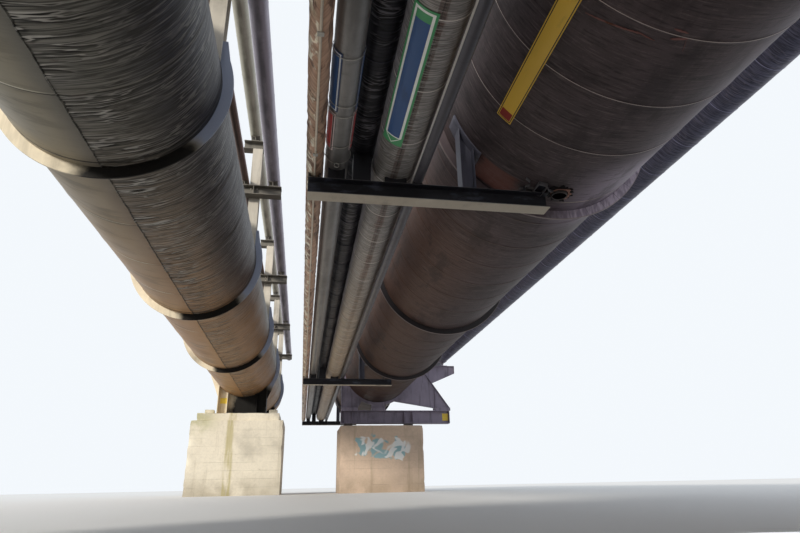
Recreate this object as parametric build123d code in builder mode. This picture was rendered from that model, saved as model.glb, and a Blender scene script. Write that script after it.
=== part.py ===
from build123d import *
from math import acos, atan2, cos, hypot, pi, sin, sqrt
import os

# Industrial pipe bridge: two parallel gas mains on concrete piers, with the
# smaller service pipes that ride on them. Millimetres, +X across the bridge,
# +Y along the pipes, +Z up, origin on the ground under the middle.

os.makedirs("parts", exist_ok=True)

# Layout along the bridge
BAY = 5130.0                # distance from one ring station to the next
BAYS_EACH_WAY = 3           # stations run this many bays from the middle
PIER_BAYS = 2               # the piers stand this many bays from the middle
PIPE_END = 1700.0           # mains run on past the last station by this much
SERVICE_END = 1550.0        # service pipes run on past the last station
CLADDING_END = 1580.0       # cladding stops before the bare pipe end
LINE_SPACING = 4825.0       # from the left main's axis to the right main's

# Left main: a steel pipe in insulation with a sheet skin
LEFT_AXIS_Z = 4330.0
LEFT_STEEL_R = 1000.0
LEFT_WALL = 12.0
LEFT_INSULATION = 100.0
LEFT_RING_DEPTH = 218.0     # ring plate, measured from the steel pipe
LEFT_RING_PLATE = 22.0

# Left posts and their two levels of short beams
POST_X = 960.0              # post centre, from the left axis
POST_FOOT_Z = 300.0         # post foot, above the left axis
GUSSET_TOP = 670.0          # top of the gusset under the post, above the axis
GUSSET_TOP_X = 1104.0       # its outer corner there
UPPER_BEAM_TOP = 7050.0
UPPER_BEAM_X = 864.0
UPPER_BEAM_LENGTH = 400.0
LOWER_BEAM_TOP = 5870.0
LOWER_BEAM_X = 1099.0
LOWER_BEAM_LENGTH = 810.0

# I-sections: depth, width, flange, web
BEAM = (200.0, 200.0, 15.0, 9.0)
POST = (200.0, 200.0, 15.0, 9.0)
GIRDER = (460.0, 300.0, 24.0, 14.0)
END_PLATE = 10.0
STIFFENER = 12.0

# Small pipes of the left line: offset from the axis, radius, wall
PALE_PIPE_X = 884.0
PALE_PIPE_R = 125.0
DARK_PIPE_X = 1329.0
DARK_PIPE_R = 133.0
RUST_PIPE_X = 774.0
RUST_PIPE_R = 75.0
SMALL_WALL = 8.0
LEFT_SHOE_HEIGHT = 100.0
RUST_SHOE_HEIGHT = 75.0

# Left pier and saddle
LEFT_PIER_WIDTH = 2980.0
PIER_DEPTH = 2200.0
LEFT_PIER_TOP = 2325.0
PLINTH_INSET = 150.0
PLINTH_HEIGHT = 250.0
PIER_CHAMFER = 25.0
SADDLE_FOOT_X = 830.0       # half width of the saddle web at its foot
SADDLE_KNEE_Z = -1180.0     # where the web starts to lean out, from the axis
SADDLE_RING_ANGLE = 207.0   # where the leaning edge meets the ring
SADDLE_INNER_X = 500.0      # inner stiffeners
SADDLE_OUTER_X = 820.0      # outer stiffeners
SADDLE_STIFFENER = 20.0
SADDLE_BASE = 30.0
SADDLE_BASE_X = 925.0
SADDLE_DEPTH = 500.0
GUIDE_BLOCK = (290.0, 300.0, 200.0)
GUIDE_BLOCK_X = 1080.0

# Right main: bare steel
RIGHT_AXIS_Z = 4313.0
RIGHT_R = 1248.0
RIGHT_WALL = 12.0
RIGHT_RING_DEPTH = 105.0
RIGHT_RING_PLATE = 22.0

# Right pier, bearings, girder and saddle
RIGHT_PIER_WIDTH = 2850.0
RIGHT_PIER_TOP = 2150.0
BEARING_HEIGHT = 150.0
BEARING_X = 1100.0
BEARING_PLATE = (520.0, 400.0, 25.0)
BEARING_BLOCK = (300.0, 300.0)
GIRDER_LEFT = 1366.0        # girder ends, from the right axis
GIRDER_RIGHT = 2639.0
SADDLE_PLATE = 40.0
WING_FOOT_Z = -1448.0       # underside of the wing feet, from the axis
WING_FOOT_LENGTH = 600.0
WING_RIGHT_X = 2680.0
WING_LOW_ANGLE = -63.5      # where the wing's lower edge meets the ring
LEFT_FOOT_LENGTH = 600.0
WING_STIFFENER_X = 2141.0
WING_FLANGE = 16.0
WING_FLANGE_WIDTH = 160.0
FLANGE_STOP = 250.0         # flanges end this far short of where a web meets the ring
MIDDLE_PAD = 500.0
PAD_DEPTH = 280.0

# Tapered brackets that carry the outer pipe at the piers
BRACKET_REACH = 2925.0      # tip, from the right axis
BRACKET_TOP = 117.0         # above the right axis
BRACKET_TIP_DEPTH = 280.0
BRACKET_ROOT_X = 2040.0     # where its lower edge meets the wing
OUTER_PIPE_X = 2499.0
OUTER_PIPE_R = 250.0
OUTER_PIPE_SHOE = 140.0

# Outrigger beams hung under the right main
OUTRIGGER_COUNT = 4
OUTRIGGER_BAYS = 2.152      # from one to the next, in bays
OUTRIGGER_SHIFT = 82.0      # middle of their row, from the middle of the bridge
OUTRIGGER_TOP = 3065.0
OUTRIGGER_LEFT = 2740.0     # left end, from the right axis
OUTRIGGER_RIGHT = 215.0     # right end, from the right axis
OUTRIGGER = (171.0, 180.0, 9.5, 6.0)
HANGER = (152.0, 160.0, 9.0, 6.0)
HANGER_X = 1080.0
HANGER_PAD = 16.0           # curved pad between a hanger and the main
HANGER_PAD_LENGTH = 220.0
HANGER_PAD_ANGLES = (-163.0, -138.0)
LUG_PLACES = (460.0, 390.0, 240.0)
LUG = (12.0, 110.0)         # small plates that tie the beam's end to the main

# Service pipes of the right line: offset from the axis, radius, and the
# height of the beam's top to the underside of the pipe
BROWN_PIPE_X = 2677.0
BROWN_PIPE_R = 88.0
BROWN_SHOE = 34.0
SILVER_PIPE_X = 2460.0
SILVER_PIPE_R = 120.0
SILVER_SHOE = 97.0
BLACK_PIPE_X = 2203.0
BLACK_PIPE_R = 150.0
BLACK_STOOL = 290.0
PROCESS_PIPE_X = 1859.0
PROCESS_PIPE_R = 229.0
PROCESS_SHOE = 42.0
GREY_PIPE_X = 1627.0
GREY_PIPE_R = 57.0
GREY_SHOE = 8.0
CLADDING = 50.0             # insulation of the clad service pipes
CONDUIT_R = 10.0
SHOE_LENGTH = 200.0
SHOE_PLATE = 12.0
CRADLE_LENGTH = 160.0
CRADLE_LIP = 10.0           # a cradle stops this far below the pipe's flank
SILVER_CRADLE = 170.0       # widths of the cradles
PROCESS_CRADLE = 225.0
GREY_PAD = 70.0
BLACK_PAD = 150.0
BROWN_CHEEK_X = 55.0
STOOL_WIDTH = 180.0
STOOL_WALL = 8.0
STOOL_PAD = 24.0

# Drain stub under the right main, beside the end of an outrigger
DRAIN_ANGLE = -94.5
DRAIN_FROM_BEAM = -90.0
DRAIN_R = 80.0
DRAIN_LENGTH = 40.0

# Worked out from the sizes above
LEFT_R = LEFT_STEEL_R + LEFT_INSULATION
LEFT_RING_R = LEFT_STEEL_R + LEFT_RING_DEPTH
RIGHT_RING_R = RIGHT_R + RIGHT_RING_DEPTH
LEFT_X = -(LINE_SPACING + BRACKET_REACH - LEFT_PIER_WIDTH / 2) / 2
RIGHT_X = LEFT_X + LINE_SPACING
STATIONS = [n * BAY for n in range(-BAYS_EACH_WAY, BAYS_EACH_WAY + 1)]
PIER_Y = PIER_BAYS * BAY
PIERS = {"near": -PIER_Y, "far": PIER_Y}
RING_STATIONS = [y for y in STATIONS if abs(y) != PIER_Y]
OUTRIGGERS = [OUTRIGGER_SHIFT + (n - (OUTRIGGER_COUNT - 1) / 2) * OUTRIGGER_BAYS * BAY
              for n in range(OUTRIGGER_COUNT)]
MAIN_END = BAYS_EACH_WAY * BAY + PIPE_END
SERVICE_HALF = BAYS_EACH_WAY * BAY + SERVICE_END
PLINTH_TOP = LEFT_PIER_TOP + PLINTH_HEIGHT
GIRDER_TOP = RIGHT_PIER_TOP + BEARING_HEIGHT + GIRDER[0]
LOWER_BEAM_Y = -(POST[0] + BEAM[1]) / 2
DRAIN_Y = OUTRIGGERS[1] + DRAIN_FROM_BEAM
FACE_GAP = 0.3              # between curved faces that only touch


def across(y, x=0.0, z=0.0):
    """Upright plane across the bridge: its own x is X, its own y is Z."""
    return Plane(origin=(x, y, z), x_dir=(1, 0, 0), z_dir=(0, -1, 0))


def save(builder, name):
    builder.part.label = name
    export_step(builder.part, f"parts/{name}.step")


def tube(x, z, outer, inner, start, end):
    """A straight tube along Y, added to the open part."""
    with BuildSketch(across(start)) as section:
        with Locations((x, z)):
            Circle(outer)
            Circle(inner, mode=Mode.SUBTRACT)
    extrude(section.sketch, amount=start - end)


def rod(x, z, radius, start, end, mode=Mode.ADD):
    """A solid round along Y, added to or cut from the open part."""
    with BuildSketch(across(start)) as section:
        with Locations((x, z)):
            Circle(radius)
    extrude(section.sketch, amount=start - end, mode=mode)


def plate(points, y, thickness, mode=Mode.ADD):
    """A flat plate across the bridge, centred on y, from its outline."""
    with BuildSketch(across(y)) as outline:
        Polygon(*points, align=None)
    extrude(outline.sketch, amount=thickness / 2, both=True, mode=mode)


def block(x0, x1, y, depth, z0, z1):
    """A plain block, centred on y."""
    with BuildSketch(Plane.XY.offset(z0)) as base:
        with Locations(((x0 + x1) / 2, y)):
            Rectangle(x1 - x0, depth)
    extrude(base.sketch, amount=z1 - z0)


def i_shape(section):
    """I-section: its depth along the sketch's own y."""
    depth, width, flange, web = section
    Rectangle(width, depth)
    side = (width - web) / 2
    with Locations((-(web + side) / 2, 0), ((web + side) / 2, 0)):
        Rectangle(side, depth - 2 * flange, mode=Mode.SUBTRACT)


def beam(x0, x1, y, top, section):
    """An I-beam lying along X."""
    with BuildSketch(Plane.YZ.offset(x0)) as profile:
        with Locations((y, top - section[0] / 2)):
            i_shape(section)
    extrude(profile.sketch, amount=x1 - x0)


def beam_plate(x, y, top, section, thickness):
    """A stiffener or end plate that fills a beam's outline at x."""
    with BuildSketch(Plane.YZ.offset(x)) as profile:
        with Locations((y, top - section[0] / 2)):
            Rectangle(section[1], section[0])
    extrude(profile.sketch, amount=thickness / 2, both=True)


def post(x, y, z0, z1, section, along=(1, 0, 0)):
    """An upright I-section whose width runs along the given direction."""
    with BuildSketch(Plane(origin=(x, y, z0), x_dir=along, z_dir=(0, 0, 1))) as profile:
        i_shape(section)
    extrude(profile.sketch, amount=z1 - z0)


def shoe(x, y, seat, radius, height):
    """A pipe shoe: base plate, web and a curved cradle under the pipe."""
    axis_z = seat + height + radius + FACE_GAP
    half_base = 0.6 * radius
    with BuildSketch(across(y)) as profile:
        with Locations((x, seat + SHOE_PLATE / 2)):
            Rectangle(2 * half_base, SHOE_PLATE)
        with Locations((x, (seat + axis_z - radius) / 2)):
            Rectangle(SHOE_PLATE, height)
        with Locations((x, axis_z)):
            Circle(radius + SHOE_PLATE)
        with Locations((x, axis_z + 0.3 * radius)):
            Rectangle(4 * radius, 2.3 * radius, mode=Mode.SUBTRACT)
        with Locations((x, axis_z)):
            Circle(radius + FACE_GAP, mode=Mode.SUBTRACT)
    extrude(profile.sketch, amount=SHOE_LENGTH / 2, both=True)


def cradle(x, y, seat, radius, height, width):
    """A fabricated cradle: base plate, web and two end plates cut to the pipe."""
    axis_z = seat + height + radius + FACE_GAP
    top = axis_z - sqrt(radius ** 2 - (width / 2) ** 2) - CRADLE_LIP
    end = (CRADLE_LENGTH - SHOE_PLATE) / 2
    block(x - width / 2, x + width / 2, y, CRADLE_LENGTH, seat, seat + SHOE_PLATE)
    block(x - SHOE_PLATE / 2, x + SHOE_PLATE / 2, y, CRADLE_LENGTH, seat, top)
    for middle in (y - end, y + end):
        block(x - width / 2, x + width / 2, middle, SHOE_PLATE, seat, top)
    rod(x, axis_z, radius + FACE_GAP, y - CRADLE_LENGTH, y + CRADLE_LENGTH, Mode.SUBTRACT)


def pad(x, y, seat, radius, height, width):
    """A solid pad, hollowed to the pipe that lies on it."""
    axis_z = seat + height + radius + FACE_GAP
    top = axis_z - sqrt(radius ** 2 - (width / 2) ** 2)
    block(x - width / 2 - SHOE_PLATE, x + width / 2 + SHOE_PLATE, y, CRADLE_LENGTH, seat, top)
    rod(x, axis_z, radius + FACE_GAP, y - CRADLE_LENGTH, y + CRADLE_LENGTH, Mode.SUBTRACT)


def box_tube(x, y, z0, z1, width, depth, wall):
    """An upright square tube."""
    with BuildSketch(Plane.XY.offset(z0)) as section:
        with Locations((x, y)):
            Rectangle(width, depth)
            Rectangle(width - 2 * wall, depth - 2 * wall, mode=Mode.SUBTRACT)
    extrude(section.sketch, amount=z1 - z0)


def tangent_point(x, z, radius, side):
    """Where the tangent from (x, z) touches a circle about the origin."""
    angle = atan2(z, x) + side * acos(radius / hypot(x, z))
    return radius * cos(angle), radius * sin(angle)


def left_ring(y, thickness, mode=Mode.ADD):
    """Ring plate of the left main with the gusset that carries a post."""
    half = POST[1] / 2
    with BuildSketch(across(y, LEFT_X, LEFT_AXIS_Z)) as outline:
        Circle(LEFT_RING_R)
        Polygon(
            (POST_X - half, 0),
            (LEFT_RING_R, 0),
            (GUSSET_TOP_X, GUSSET_TOP),
            (POST_X - half, GUSSET_TOP),
            align=None,
        )
        Circle(LEFT_STEEL_R, mode=Mode.SUBTRACT)
    extrude(outline.sketch, amount=thickness / 2, both=True, mode=mode)


# Concrete piers
for side, y in PIERS.items():
    with BuildPart() as left_pier:
        with BuildSketch():
            with Locations((LEFT_X, y)):
                Rectangle(LEFT_PIER_WIDTH, PIER_DEPTH)
        extrude(amount=LEFT_PIER_TOP)
        chamfer(left_pier.edges().filter_by(Axis.Z) + left_pier.faces().sort_by(Axis.Z)[-1].edges(),
                length=PIER_CHAMFER)
        with BuildSketch(Plane.XY.offset(LEFT_PIER_TOP)):
            with Locations((LEFT_X, y)):
                Rectangle(LEFT_PIER_WIDTH - 2 * PLINTH_INSET, PIER_DEPTH - 2 * PLINTH_INSET)
        extrude(amount=PLINTH_HEIGHT)
    save(left_pier, f"left_pier_{side}")

    with BuildPart() as right_pier:
        with BuildSketch():
            with Locations((RIGHT_X, y)):
                Rectangle(RIGHT_PIER_WIDTH, PIER_DEPTH)
        extrude(amount=RIGHT_PIER_TOP)
        chamfer(right_pier.edges().filter_by(Axis.Z) + right_pier.faces().sort_by(Axis.Z)[-1].edges(),
                length=PIER_CHAMFER)
    save(right_pier, f"right_pier_{side}")

# Left main and its cladding, one shell between each two rings
with BuildPart() as left_main_pipe:
    tube(LEFT_X, LEFT_AXIS_Z, LEFT_STEEL_R, LEFT_STEEL_R - LEFT_WALL, -MAIN_END, MAIN_END)
save(left_main_pipe, "left_main_pipe")

cladding_end = BAYS_EACH_WAY * BAY + CLADDING_END
cladding_cuts = [-cladding_end] + STATIONS + [cladding_end]
with BuildPart() as left_cladding:
    for start, end in zip(cladding_cuts[:-1], cladding_cuts[1:]):
        start_gap = 0 if start == -cladding_end else LEFT_RING_PLATE / 2
        end_gap = 0 if end == cladding_end else LEFT_RING_PLATE / 2
        tube(LEFT_X, LEFT_AXIS_Z, LEFT_R, LEFT_STEEL_R, start + start_gap, end - end_gap)
save(left_cladding, "left_cladding")

# Ring stiffeners of the left main
with BuildPart() as left_rings:
    for y in RING_STATIONS:
        left_ring(y, LEFT_RING_PLATE)
save(left_rings, "left_rings")

# Saddles of the left main: the ring at each pier runs down into a footed web
ring_angle = SADDLE_RING_ANGLE * pi / 180
ring_edge = (LEFT_RING_R * cos(ring_angle), LEFT_RING_R * sin(ring_angle))
web_foot = PLINTH_TOP + SADDLE_BASE - LEFT_AXIS_Z
for side, y in PIERS.items():
    with BuildPart() as left_saddle:
        left_ring(y, LEFT_RING_PLATE)
        with BuildSketch(across(y, LEFT_X, LEFT_AXIS_Z)) as web:
            Polygon(
                (0, 0),
                ring_edge,
                (-SADDLE_FOOT_X, SADDLE_KNEE_Z),
                (-SADDLE_FOOT_X, web_foot),
                (SADDLE_FOOT_X, web_foot),
                (SADDLE_FOOT_X, SADDLE_KNEE_Z),
                (-ring_edge[0], ring_edge[1]),
                align=None,
            )
            Circle(LEFT_STEEL_R, mode=Mode.SUBTRACT)
        extrude(web.sketch, amount=LEFT_RING_PLATE / 2, both=True)
        for x in (-SADDLE_OUTER_X, -SADDLE_INNER_X, SADDLE_INNER_X, SADDLE_OUTER_X):
            block(LEFT_X + x - SADDLE_STIFFENER / 2, LEFT_X + x + SADDLE_STIFFENER / 2, y,
                  SADDLE_DEPTH, PLINTH_TOP + SADDLE_BASE, LEFT_AXIS_Z)
        rod(LEFT_X, LEFT_AXIS_Z, LEFT_STEEL_R, y - SADDLE_DEPTH, y + SADDLE_DEPTH, Mode.SUBTRACT)
        rod(LEFT_X, LEFT_AXIS_Z, LEFT_R + FACE_GAP, y - SADDLE_DEPTH, y - LEFT_RING_PLATE / 2,
            Mode.SUBTRACT)
        rod(LEFT_X, LEFT_AXIS_Z, LEFT_R + FACE_GAP, y + LEFT_RING_PLATE / 2, y + SADDLE_DEPTH,
            Mode.SUBTRACT)
        block(LEFT_X - SADDLE_BASE_X, LEFT_X + SADDLE_BASE_X, y, SADDLE_DEPTH + 2 * SADDLE_BASE,
              PLINTH_TOP, PLINTH_TOP + SADDLE_BASE)
    save(left_saddle, f"left_saddle_{side}")

with BuildPart() as left_guide_blocks:
    width, depth, height = GUIDE_BLOCK
    for y in PIERS.values():
        for x in (LEFT_X - GUIDE_BLOCK_X, LEFT_X + GUIDE_BLOCK_X):
            block(x - width / 2, x + width / 2, y, depth, PLINTH_TOP, PLINTH_TOP + height)
save(left_guide_blocks, "left_guide_blocks")

# Posts on the rings of the left main, notched over the ring plate
with BuildPart() as left_posts:
    for y in STATIONS:
        post(LEFT_X + POST_X, y, LEFT_AXIS_Z + POST_FOOT_Z, UPPER_BEAM_TOP - BEAM[0], POST)
        left_ring(y, LEFT_RING_PLATE, Mode.SUBTRACT)
    rod(LEFT_X, LEFT_AXIS_Z, LEFT_R + FACE_GAP, -MAIN_END, MAIN_END, Mode.SUBTRACT)
save(left_posts, "left_posts")

with BuildPart() as left_upper_beams:
    x = LEFT_X + UPPER_BEAM_X
    for y in STATIONS:
        beam(x - UPPER_BEAM_LENGTH / 2, x + UPPER_BEAM_LENGTH / 2, y, UPPER_BEAM_TOP, BEAM)
        beam_plate(x + UPPER_BEAM_LENGTH / 2 - END_PLATE / 2, y, UPPER_BEAM_TOP, BEAM, END_PLATE)
save(left_upper_beams, "left_upper_beams")

with BuildPart() as left_lower_beams:
    x = LEFT_X + LOWER_BEAM_X
    for y in STATIONS:
        middle = y + LOWER_BEAM_Y
        beam(x - LOWER_BEAM_LENGTH / 2, x + LOWER_BEAM_LENGTH / 2, middle, LOWER_BEAM_TOP, BEAM)
        beam_plate(LEFT_X + POST_X, middle, LOWER_BEAM_TOP, BEAM, STIFFENER)
save(left_lower_beams, "left_lower_beams")

# Small pipes of the left line and their shoes
pale_z = UPPER_BEAM_TOP + LEFT_SHOE_HEIGHT + PALE_PIPE_R + FACE_GAP
dark_z = LOWER_BEAM_TOP + LEFT_SHOE_HEIGHT + DARK_PIPE_R + FACE_GAP
rust_z = LOWER_BEAM_TOP + RUST_SHOE_HEIGHT + RUST_PIPE_R + FACE_GAP

with BuildPart() as left_pale_pipe:
    tube(LEFT_X + PALE_PIPE_X, pale_z, PALE_PIPE_R, PALE_PIPE_R - SMALL_WALL, -SERVICE_HALF, SERVICE_HALF)
save(left_pale_pipe, "left_pale_pipe")

with BuildPart() as left_dark_pipe:
    tube(LEFT_X + DARK_PIPE_X, dark_z, DARK_PIPE_R, DARK_PIPE_R - SMALL_WALL, -SERVICE_HALF, SERVICE_HALF)
save(left_dark_pipe, "left_dark_pipe")

with BuildPart() as left_rust_pipe:
    tube(LEFT_X + RUST_PIPE_X, rust_z, RUST_PIPE_R, RUST_PIPE_R - SMALL_WALL, -SERVICE_HALF, SERVICE_HALF)
save(left_rust_pipe, "left_rust_pipe")

with BuildPart() as left_upper_shoes:
    for y in STATIONS:
        shoe(LEFT_X + PALE_PIPE_X, y, UPPER_BEAM_TOP, PALE_PIPE_R, LEFT_SHOE_HEIGHT)
save(left_upper_shoes, "left_upper_shoes")

with BuildPart() as left_lower_shoes:
    for y in STATIONS:
        middle = y + LOWER_BEAM_Y
        shoe(LEFT_X + DARK_PIPE_X, middle, LOWER_BEAM_TOP, DARK_PIPE_R, LEFT_SHOE_HEIGHT)
        shoe(LEFT_X + RUST_PIPE_X, middle, LOWER_BEAM_TOP, RUST_PIPE_R, RUST_SHOE_HEIGHT)
save(left_lower_shoes, "left_lower_shoes")

# Right main and its rings
with BuildPart() as right_main_pipe:
    tube(RIGHT_X, RIGHT_AXIS_Z, RIGHT_R, RIGHT_R - RIGHT_WALL, -MAIN_END, MAIN_END)
save(right_main_pipe, "right_main_pipe")

with BuildPart() as right_rings:
    for y in RING_STATIONS:
        tube(RIGHT_X, RIGHT_AXIS_Z, RIGHT_RING_R, RIGHT_R, y - RIGHT_RING_PLATE / 2, y + RIGHT_RING_PLATE / 2)
save(right_rings, "right_rings")

drain_angle = DRAIN_ANGLE * pi / 180
out = (cos(drain_angle), 0, sin(drain_angle))
drain_seat = (RIGHT_X + RIGHT_R * out[0], DRAIN_Y, RIGHT_AXIS_Z + RIGHT_R * out[2])
with BuildPart() as drain_stub:
    with BuildSketch(Plane(origin=drain_seat, x_dir=(0, 1, 0), z_dir=out)) as section:
        Circle(DRAIN_R)
        Circle(DRAIN_R - SMALL_WALL, mode=Mode.SUBTRACT)
    extrude(section.sketch, amount=DRAIN_LENGTH)
    extrude(section.sketch, amount=-DRAIN_LENGTH / 2)
    rod(RIGHT_X, RIGHT_AXIS_Z, RIGHT_R + FACE_GAP, DRAIN_Y - 2 * DRAIN_R, DRAIN_Y + 2 * DRAIN_R, Mode.SUBTRACT)
save(drain_stub, "drain_stub")

# Girders, bearings and saddles of the right main
with BuildPart() as right_bearings:
    plate_x, plate_y, plate_z = BEARING_PLATE
    block_x, block_y = BEARING_BLOCK
    top = RIGHT_PIER_TOP + BEARING_HEIGHT
    for y in PIERS.values():
        for x in (RIGHT_X - BEARING_X, RIGHT_X + BEARING_X):
            block(x - plate_x / 2, x + plate_x / 2, y, plate_y, RIGHT_PIER_TOP, RIGHT_PIER_TOP + plate_z)
            block(x - block_x / 2, x + block_x / 2, y, block_y, RIGHT_PIER_TOP + plate_z, top)
save(right_bearings, "right_bearings")

ring = RIGHT_RING_R
wing_top = tangent_point(WING_RIGHT_X, WING_FOOT_Z, ring, 1)
low_angle = WING_LOW_ANGLE * pi / 180
wing_low = (ring * cos(low_angle), ring * sin(low_angle))
left_low = (-wing_low[0], wing_low[1])
edge_slope = (wing_top[1] - WING_FOOT_Z) / (wing_top[0] - WING_RIGHT_X)


def inward(p, q, distance):
    """The edge p to q, moved to its left by a distance."""
    dx, dz = q[0] - p[0], q[1] - p[1]
    length = hypot(dx, dz)
    shift = (-dz / length * distance, dx / length * distance)
    return (p[0] + shift[0], p[1] + shift[1]), (q[0] + shift[0], q[1] + shift[1])


def short_of(p, q, distance):
    """The point on the way from p to q that is a distance short of q."""
    share = 1 - distance / hypot(q[0] - p[0], q[1] - p[1])
    return p[0] + (q[0] - p[0]) * share, p[1] + (q[1] - p[1]) * share


def flange(p, q, y, width):
    """A flange plate along the edge p to q of a web, inside its outline."""
    r, s = inward(p, q, WING_FLANGE)
    points = [(RIGHT_X + x, RIGHT_AXIS_Z + z) for x, z in (p, q, s, r)]
    plate(points, y, width)


for side, y in PIERS.items():
    with BuildPart() as right_girder:
        beam(RIGHT_X - GIRDER_LEFT, RIGHT_X + GIRDER_RIGHT, y, GIRDER_TOP, GIRDER)
        for x in (RIGHT_X - GIRDER_LEFT + STIFFENER / 2, RIGHT_X + GIRDER_RIGHT - STIFFENER / 2):
            beam_plate(x, y, GIRDER_TOP, GIRDER, STIFFENER)
        for bearing in (RIGHT_X - BEARING_X, RIGHT_X + BEARING_X):
            for x in (bearing - BEARING_BLOCK[0] / 2, bearing + BEARING_BLOCK[0] / 2):
                beam_plate(x, y, GIRDER_TOP, GIRDER, STIFFENER)
    save(right_girder, f"right_girder_{side}")

    with BuildPart() as right_saddle:
        with BuildSketch(across(y, RIGHT_X, RIGHT_AXIS_Z)) as web:
            Circle(ring)
            Polygon(
                (0, 0),
                wing_low,
                (WING_RIGHT_X - WING_FOOT_LENGTH, WING_FOOT_Z),
                (WING_RIGHT_X, WING_FOOT_Z),
                wing_top,
                align=None,
            )
            Polygon(
                (0, 0),
                (-ring, 0),
                (-ring, WING_FOOT_Z),
                (LEFT_FOOT_LENGTH - ring, WING_FOOT_Z),
                left_low,
                align=None,
            )
            Circle(RIGHT_R, mode=Mode.SUBTRACT)
        extrude(web.sketch, amount=SADDLE_PLATE / 2, both=True)
        wing_corner = (WING_RIGHT_X, WING_FOOT_Z)
        flange(wing_corner, short_of(wing_corner, wing_top, FLANGE_STOP), y, WING_FLANGE_WIDTH)
        foot_start = (WING_RIGHT_X - WING_FOOT_LENGTH, WING_FOOT_Z)
        flange(wing_low, short_of(wing_low, foot_start, -WING_FLANGE), y, WING_FLANGE_WIDTH)
        flange((-ring, -FLANGE_STOP), (-ring, WING_FOOT_Z), y, WING_FLANGE_WIDTH)
        half = WING_FLANGE / 2
        stiffener_top = WING_FOOT_Z + edge_slope * (WING_STIFFENER_X + half - WING_RIGHT_X)
        block(RIGHT_X + WING_STIFFENER_X - half, RIGHT_X + WING_STIFFENER_X + half, y, WING_FLANGE_WIDTH,
              RIGHT_AXIS_Z + WING_FOOT_Z - WING_FLANGE, RIGHT_AXIS_Z + stiffener_top - half)
        for x0, x1 in (
            (-ring, LEFT_FOOT_LENGTH - ring),
            (-MIDDLE_PAD / 2, MIDDLE_PAD / 2),
            (WING_RIGHT_X - WING_FOOT_LENGTH, WING_RIGHT_X),
        ):
            block(RIGHT_X + x0, RIGHT_X + x1, y, PAD_DEPTH, GIRDER_TOP, RIGHT_AXIS_Z + WING_FOOT_Z)
        block(RIGHT_X - MIDDLE_PAD / 2, RIGHT_X + MIDDLE_PAD / 2, y, SADDLE_PLATE, GIRDER_TOP,
              RIGHT_AXIS_Z - RIGHT_R - RIGHT_RING_DEPTH / 2)
    save(right_saddle, f"right_saddle_{side}")

# Tapered brackets and the outer pipe on them
bracket_low = BRACKET_TOP - BRACKET_TIP_DEPTH
bracket_root = (BRACKET_ROOT_X, WING_FOOT_Z + edge_slope * (BRACKET_ROOT_X - WING_RIGHT_X))
bracket_start, under_flange = (
    (WING_RIGHT_X + (z - WING_FOOT_Z) / edge_slope, z) for z in (BRACKET_TOP, BRACKET_TOP - WING_FLANGE)
)
top_flange = [(BRACKET_REACH, BRACKET_TOP), bracket_start, under_flange, (BRACKET_REACH, under_flange[1])]
with BuildPart() as outer_brackets:
    for y in PIERS.values():
        with BuildSketch(across(y, RIGHT_X, RIGHT_AXIS_Z)) as web:
            Polygon(
                bracket_root,
                (BRACKET_REACH, bracket_low),
                (BRACKET_REACH, BRACKET_TOP),
                bracket_start,
                align=None,
            )
        extrude(web.sketch, amount=SADDLE_PLATE / 2, both=True)
        plate([(RIGHT_X + x, RIGHT_AXIS_Z + z) for x, z in top_flange], y, WING_FLANGE_WIDTH)
        flange((BRACKET_REACH, bracket_low), (BRACKET_REACH, BRACKET_TOP), y, WING_FLANGE_WIDTH)
save(outer_brackets, "outer_brackets")

outer_seat = RIGHT_AXIS_Z + BRACKET_TOP
outer_z = outer_seat + OUTER_PIPE_SHOE + OUTER_PIPE_R + FACE_GAP
with BuildPart() as outer_pipe:
    tube(RIGHT_X + OUTER_PIPE_X, outer_z, OUTER_PIPE_R, OUTER_PIPE_R - CLADDING, -SERVICE_HALF, SERVICE_HALF)
save(outer_pipe, "outer_pipe")

with BuildPart() as outer_shoes:
    for y in PIERS.values():
        shoe(RIGHT_X + OUTER_PIPE_X, y, outer_seat, OUTER_PIPE_R, OUTER_PIPE_SHOE)
save(outer_shoes, "outer_shoes")

# Outrigger beams under the right main, tied to it by small plates at their
# ends and by a hanger on a curved pad
with BuildPart() as outrigger_beams:
    for y in OUTRIGGERS:
        beam(RIGHT_X - OUTRIGGER_LEFT, RIGHT_X - OUTRIGGER_RIGHT, y, OUTRIGGER_TOP, OUTRIGGER)
        for place in LUG_PLACES:
            block(RIGHT_X - place - LUG[0] / 2, RIGHT_X - place + LUG[0] / 2, y, LUG[1], OUTRIGGER_TOP, RIGHT_AXIS_Z)
    rod(RIGHT_X, RIGHT_AXIS_Z, RIGHT_R + FACE_GAP, -MAIN_END, MAIN_END, Mode.SUBTRACT)
save(outrigger_beams, "outrigger_beams")

pad_radius = RIGHT_R + FACE_GAP + HANGER_PAD
with BuildPart() as hanger_posts:
    for y in OUTRIGGERS:
        post(RIGHT_X - HANGER_X, y, OUTRIGGER_TOP, RIGHT_AXIS_Z, HANGER, (0, 1, 0))
    rod(RIGHT_X, RIGHT_AXIS_Z, pad_radius - HANGER_PAD / 2, -MAIN_END, MAIN_END, Mode.SUBTRACT)
    for y in OUTRIGGERS:
        with BuildSketch(across(y, RIGHT_X, RIGHT_AXIS_Z)) as curved_pad:
            Circle(pad_radius)
            corners = [(2 * RIGHT_R * cos(angle * pi / 180), 2 * RIGHT_R * sin(angle * pi / 180))
                       for angle in HANGER_PAD_ANGLES]
            Polygon((0, 0), *corners, align=None, mode=Mode.INTERSECT)
            Circle(RIGHT_R + FACE_GAP, mode=Mode.SUBTRACT)
        extrude(curved_pad.sketch, amount=HANGER_PAD_LENGTH / 2, both=True)
save(hanger_posts, "hanger_posts")

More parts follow.
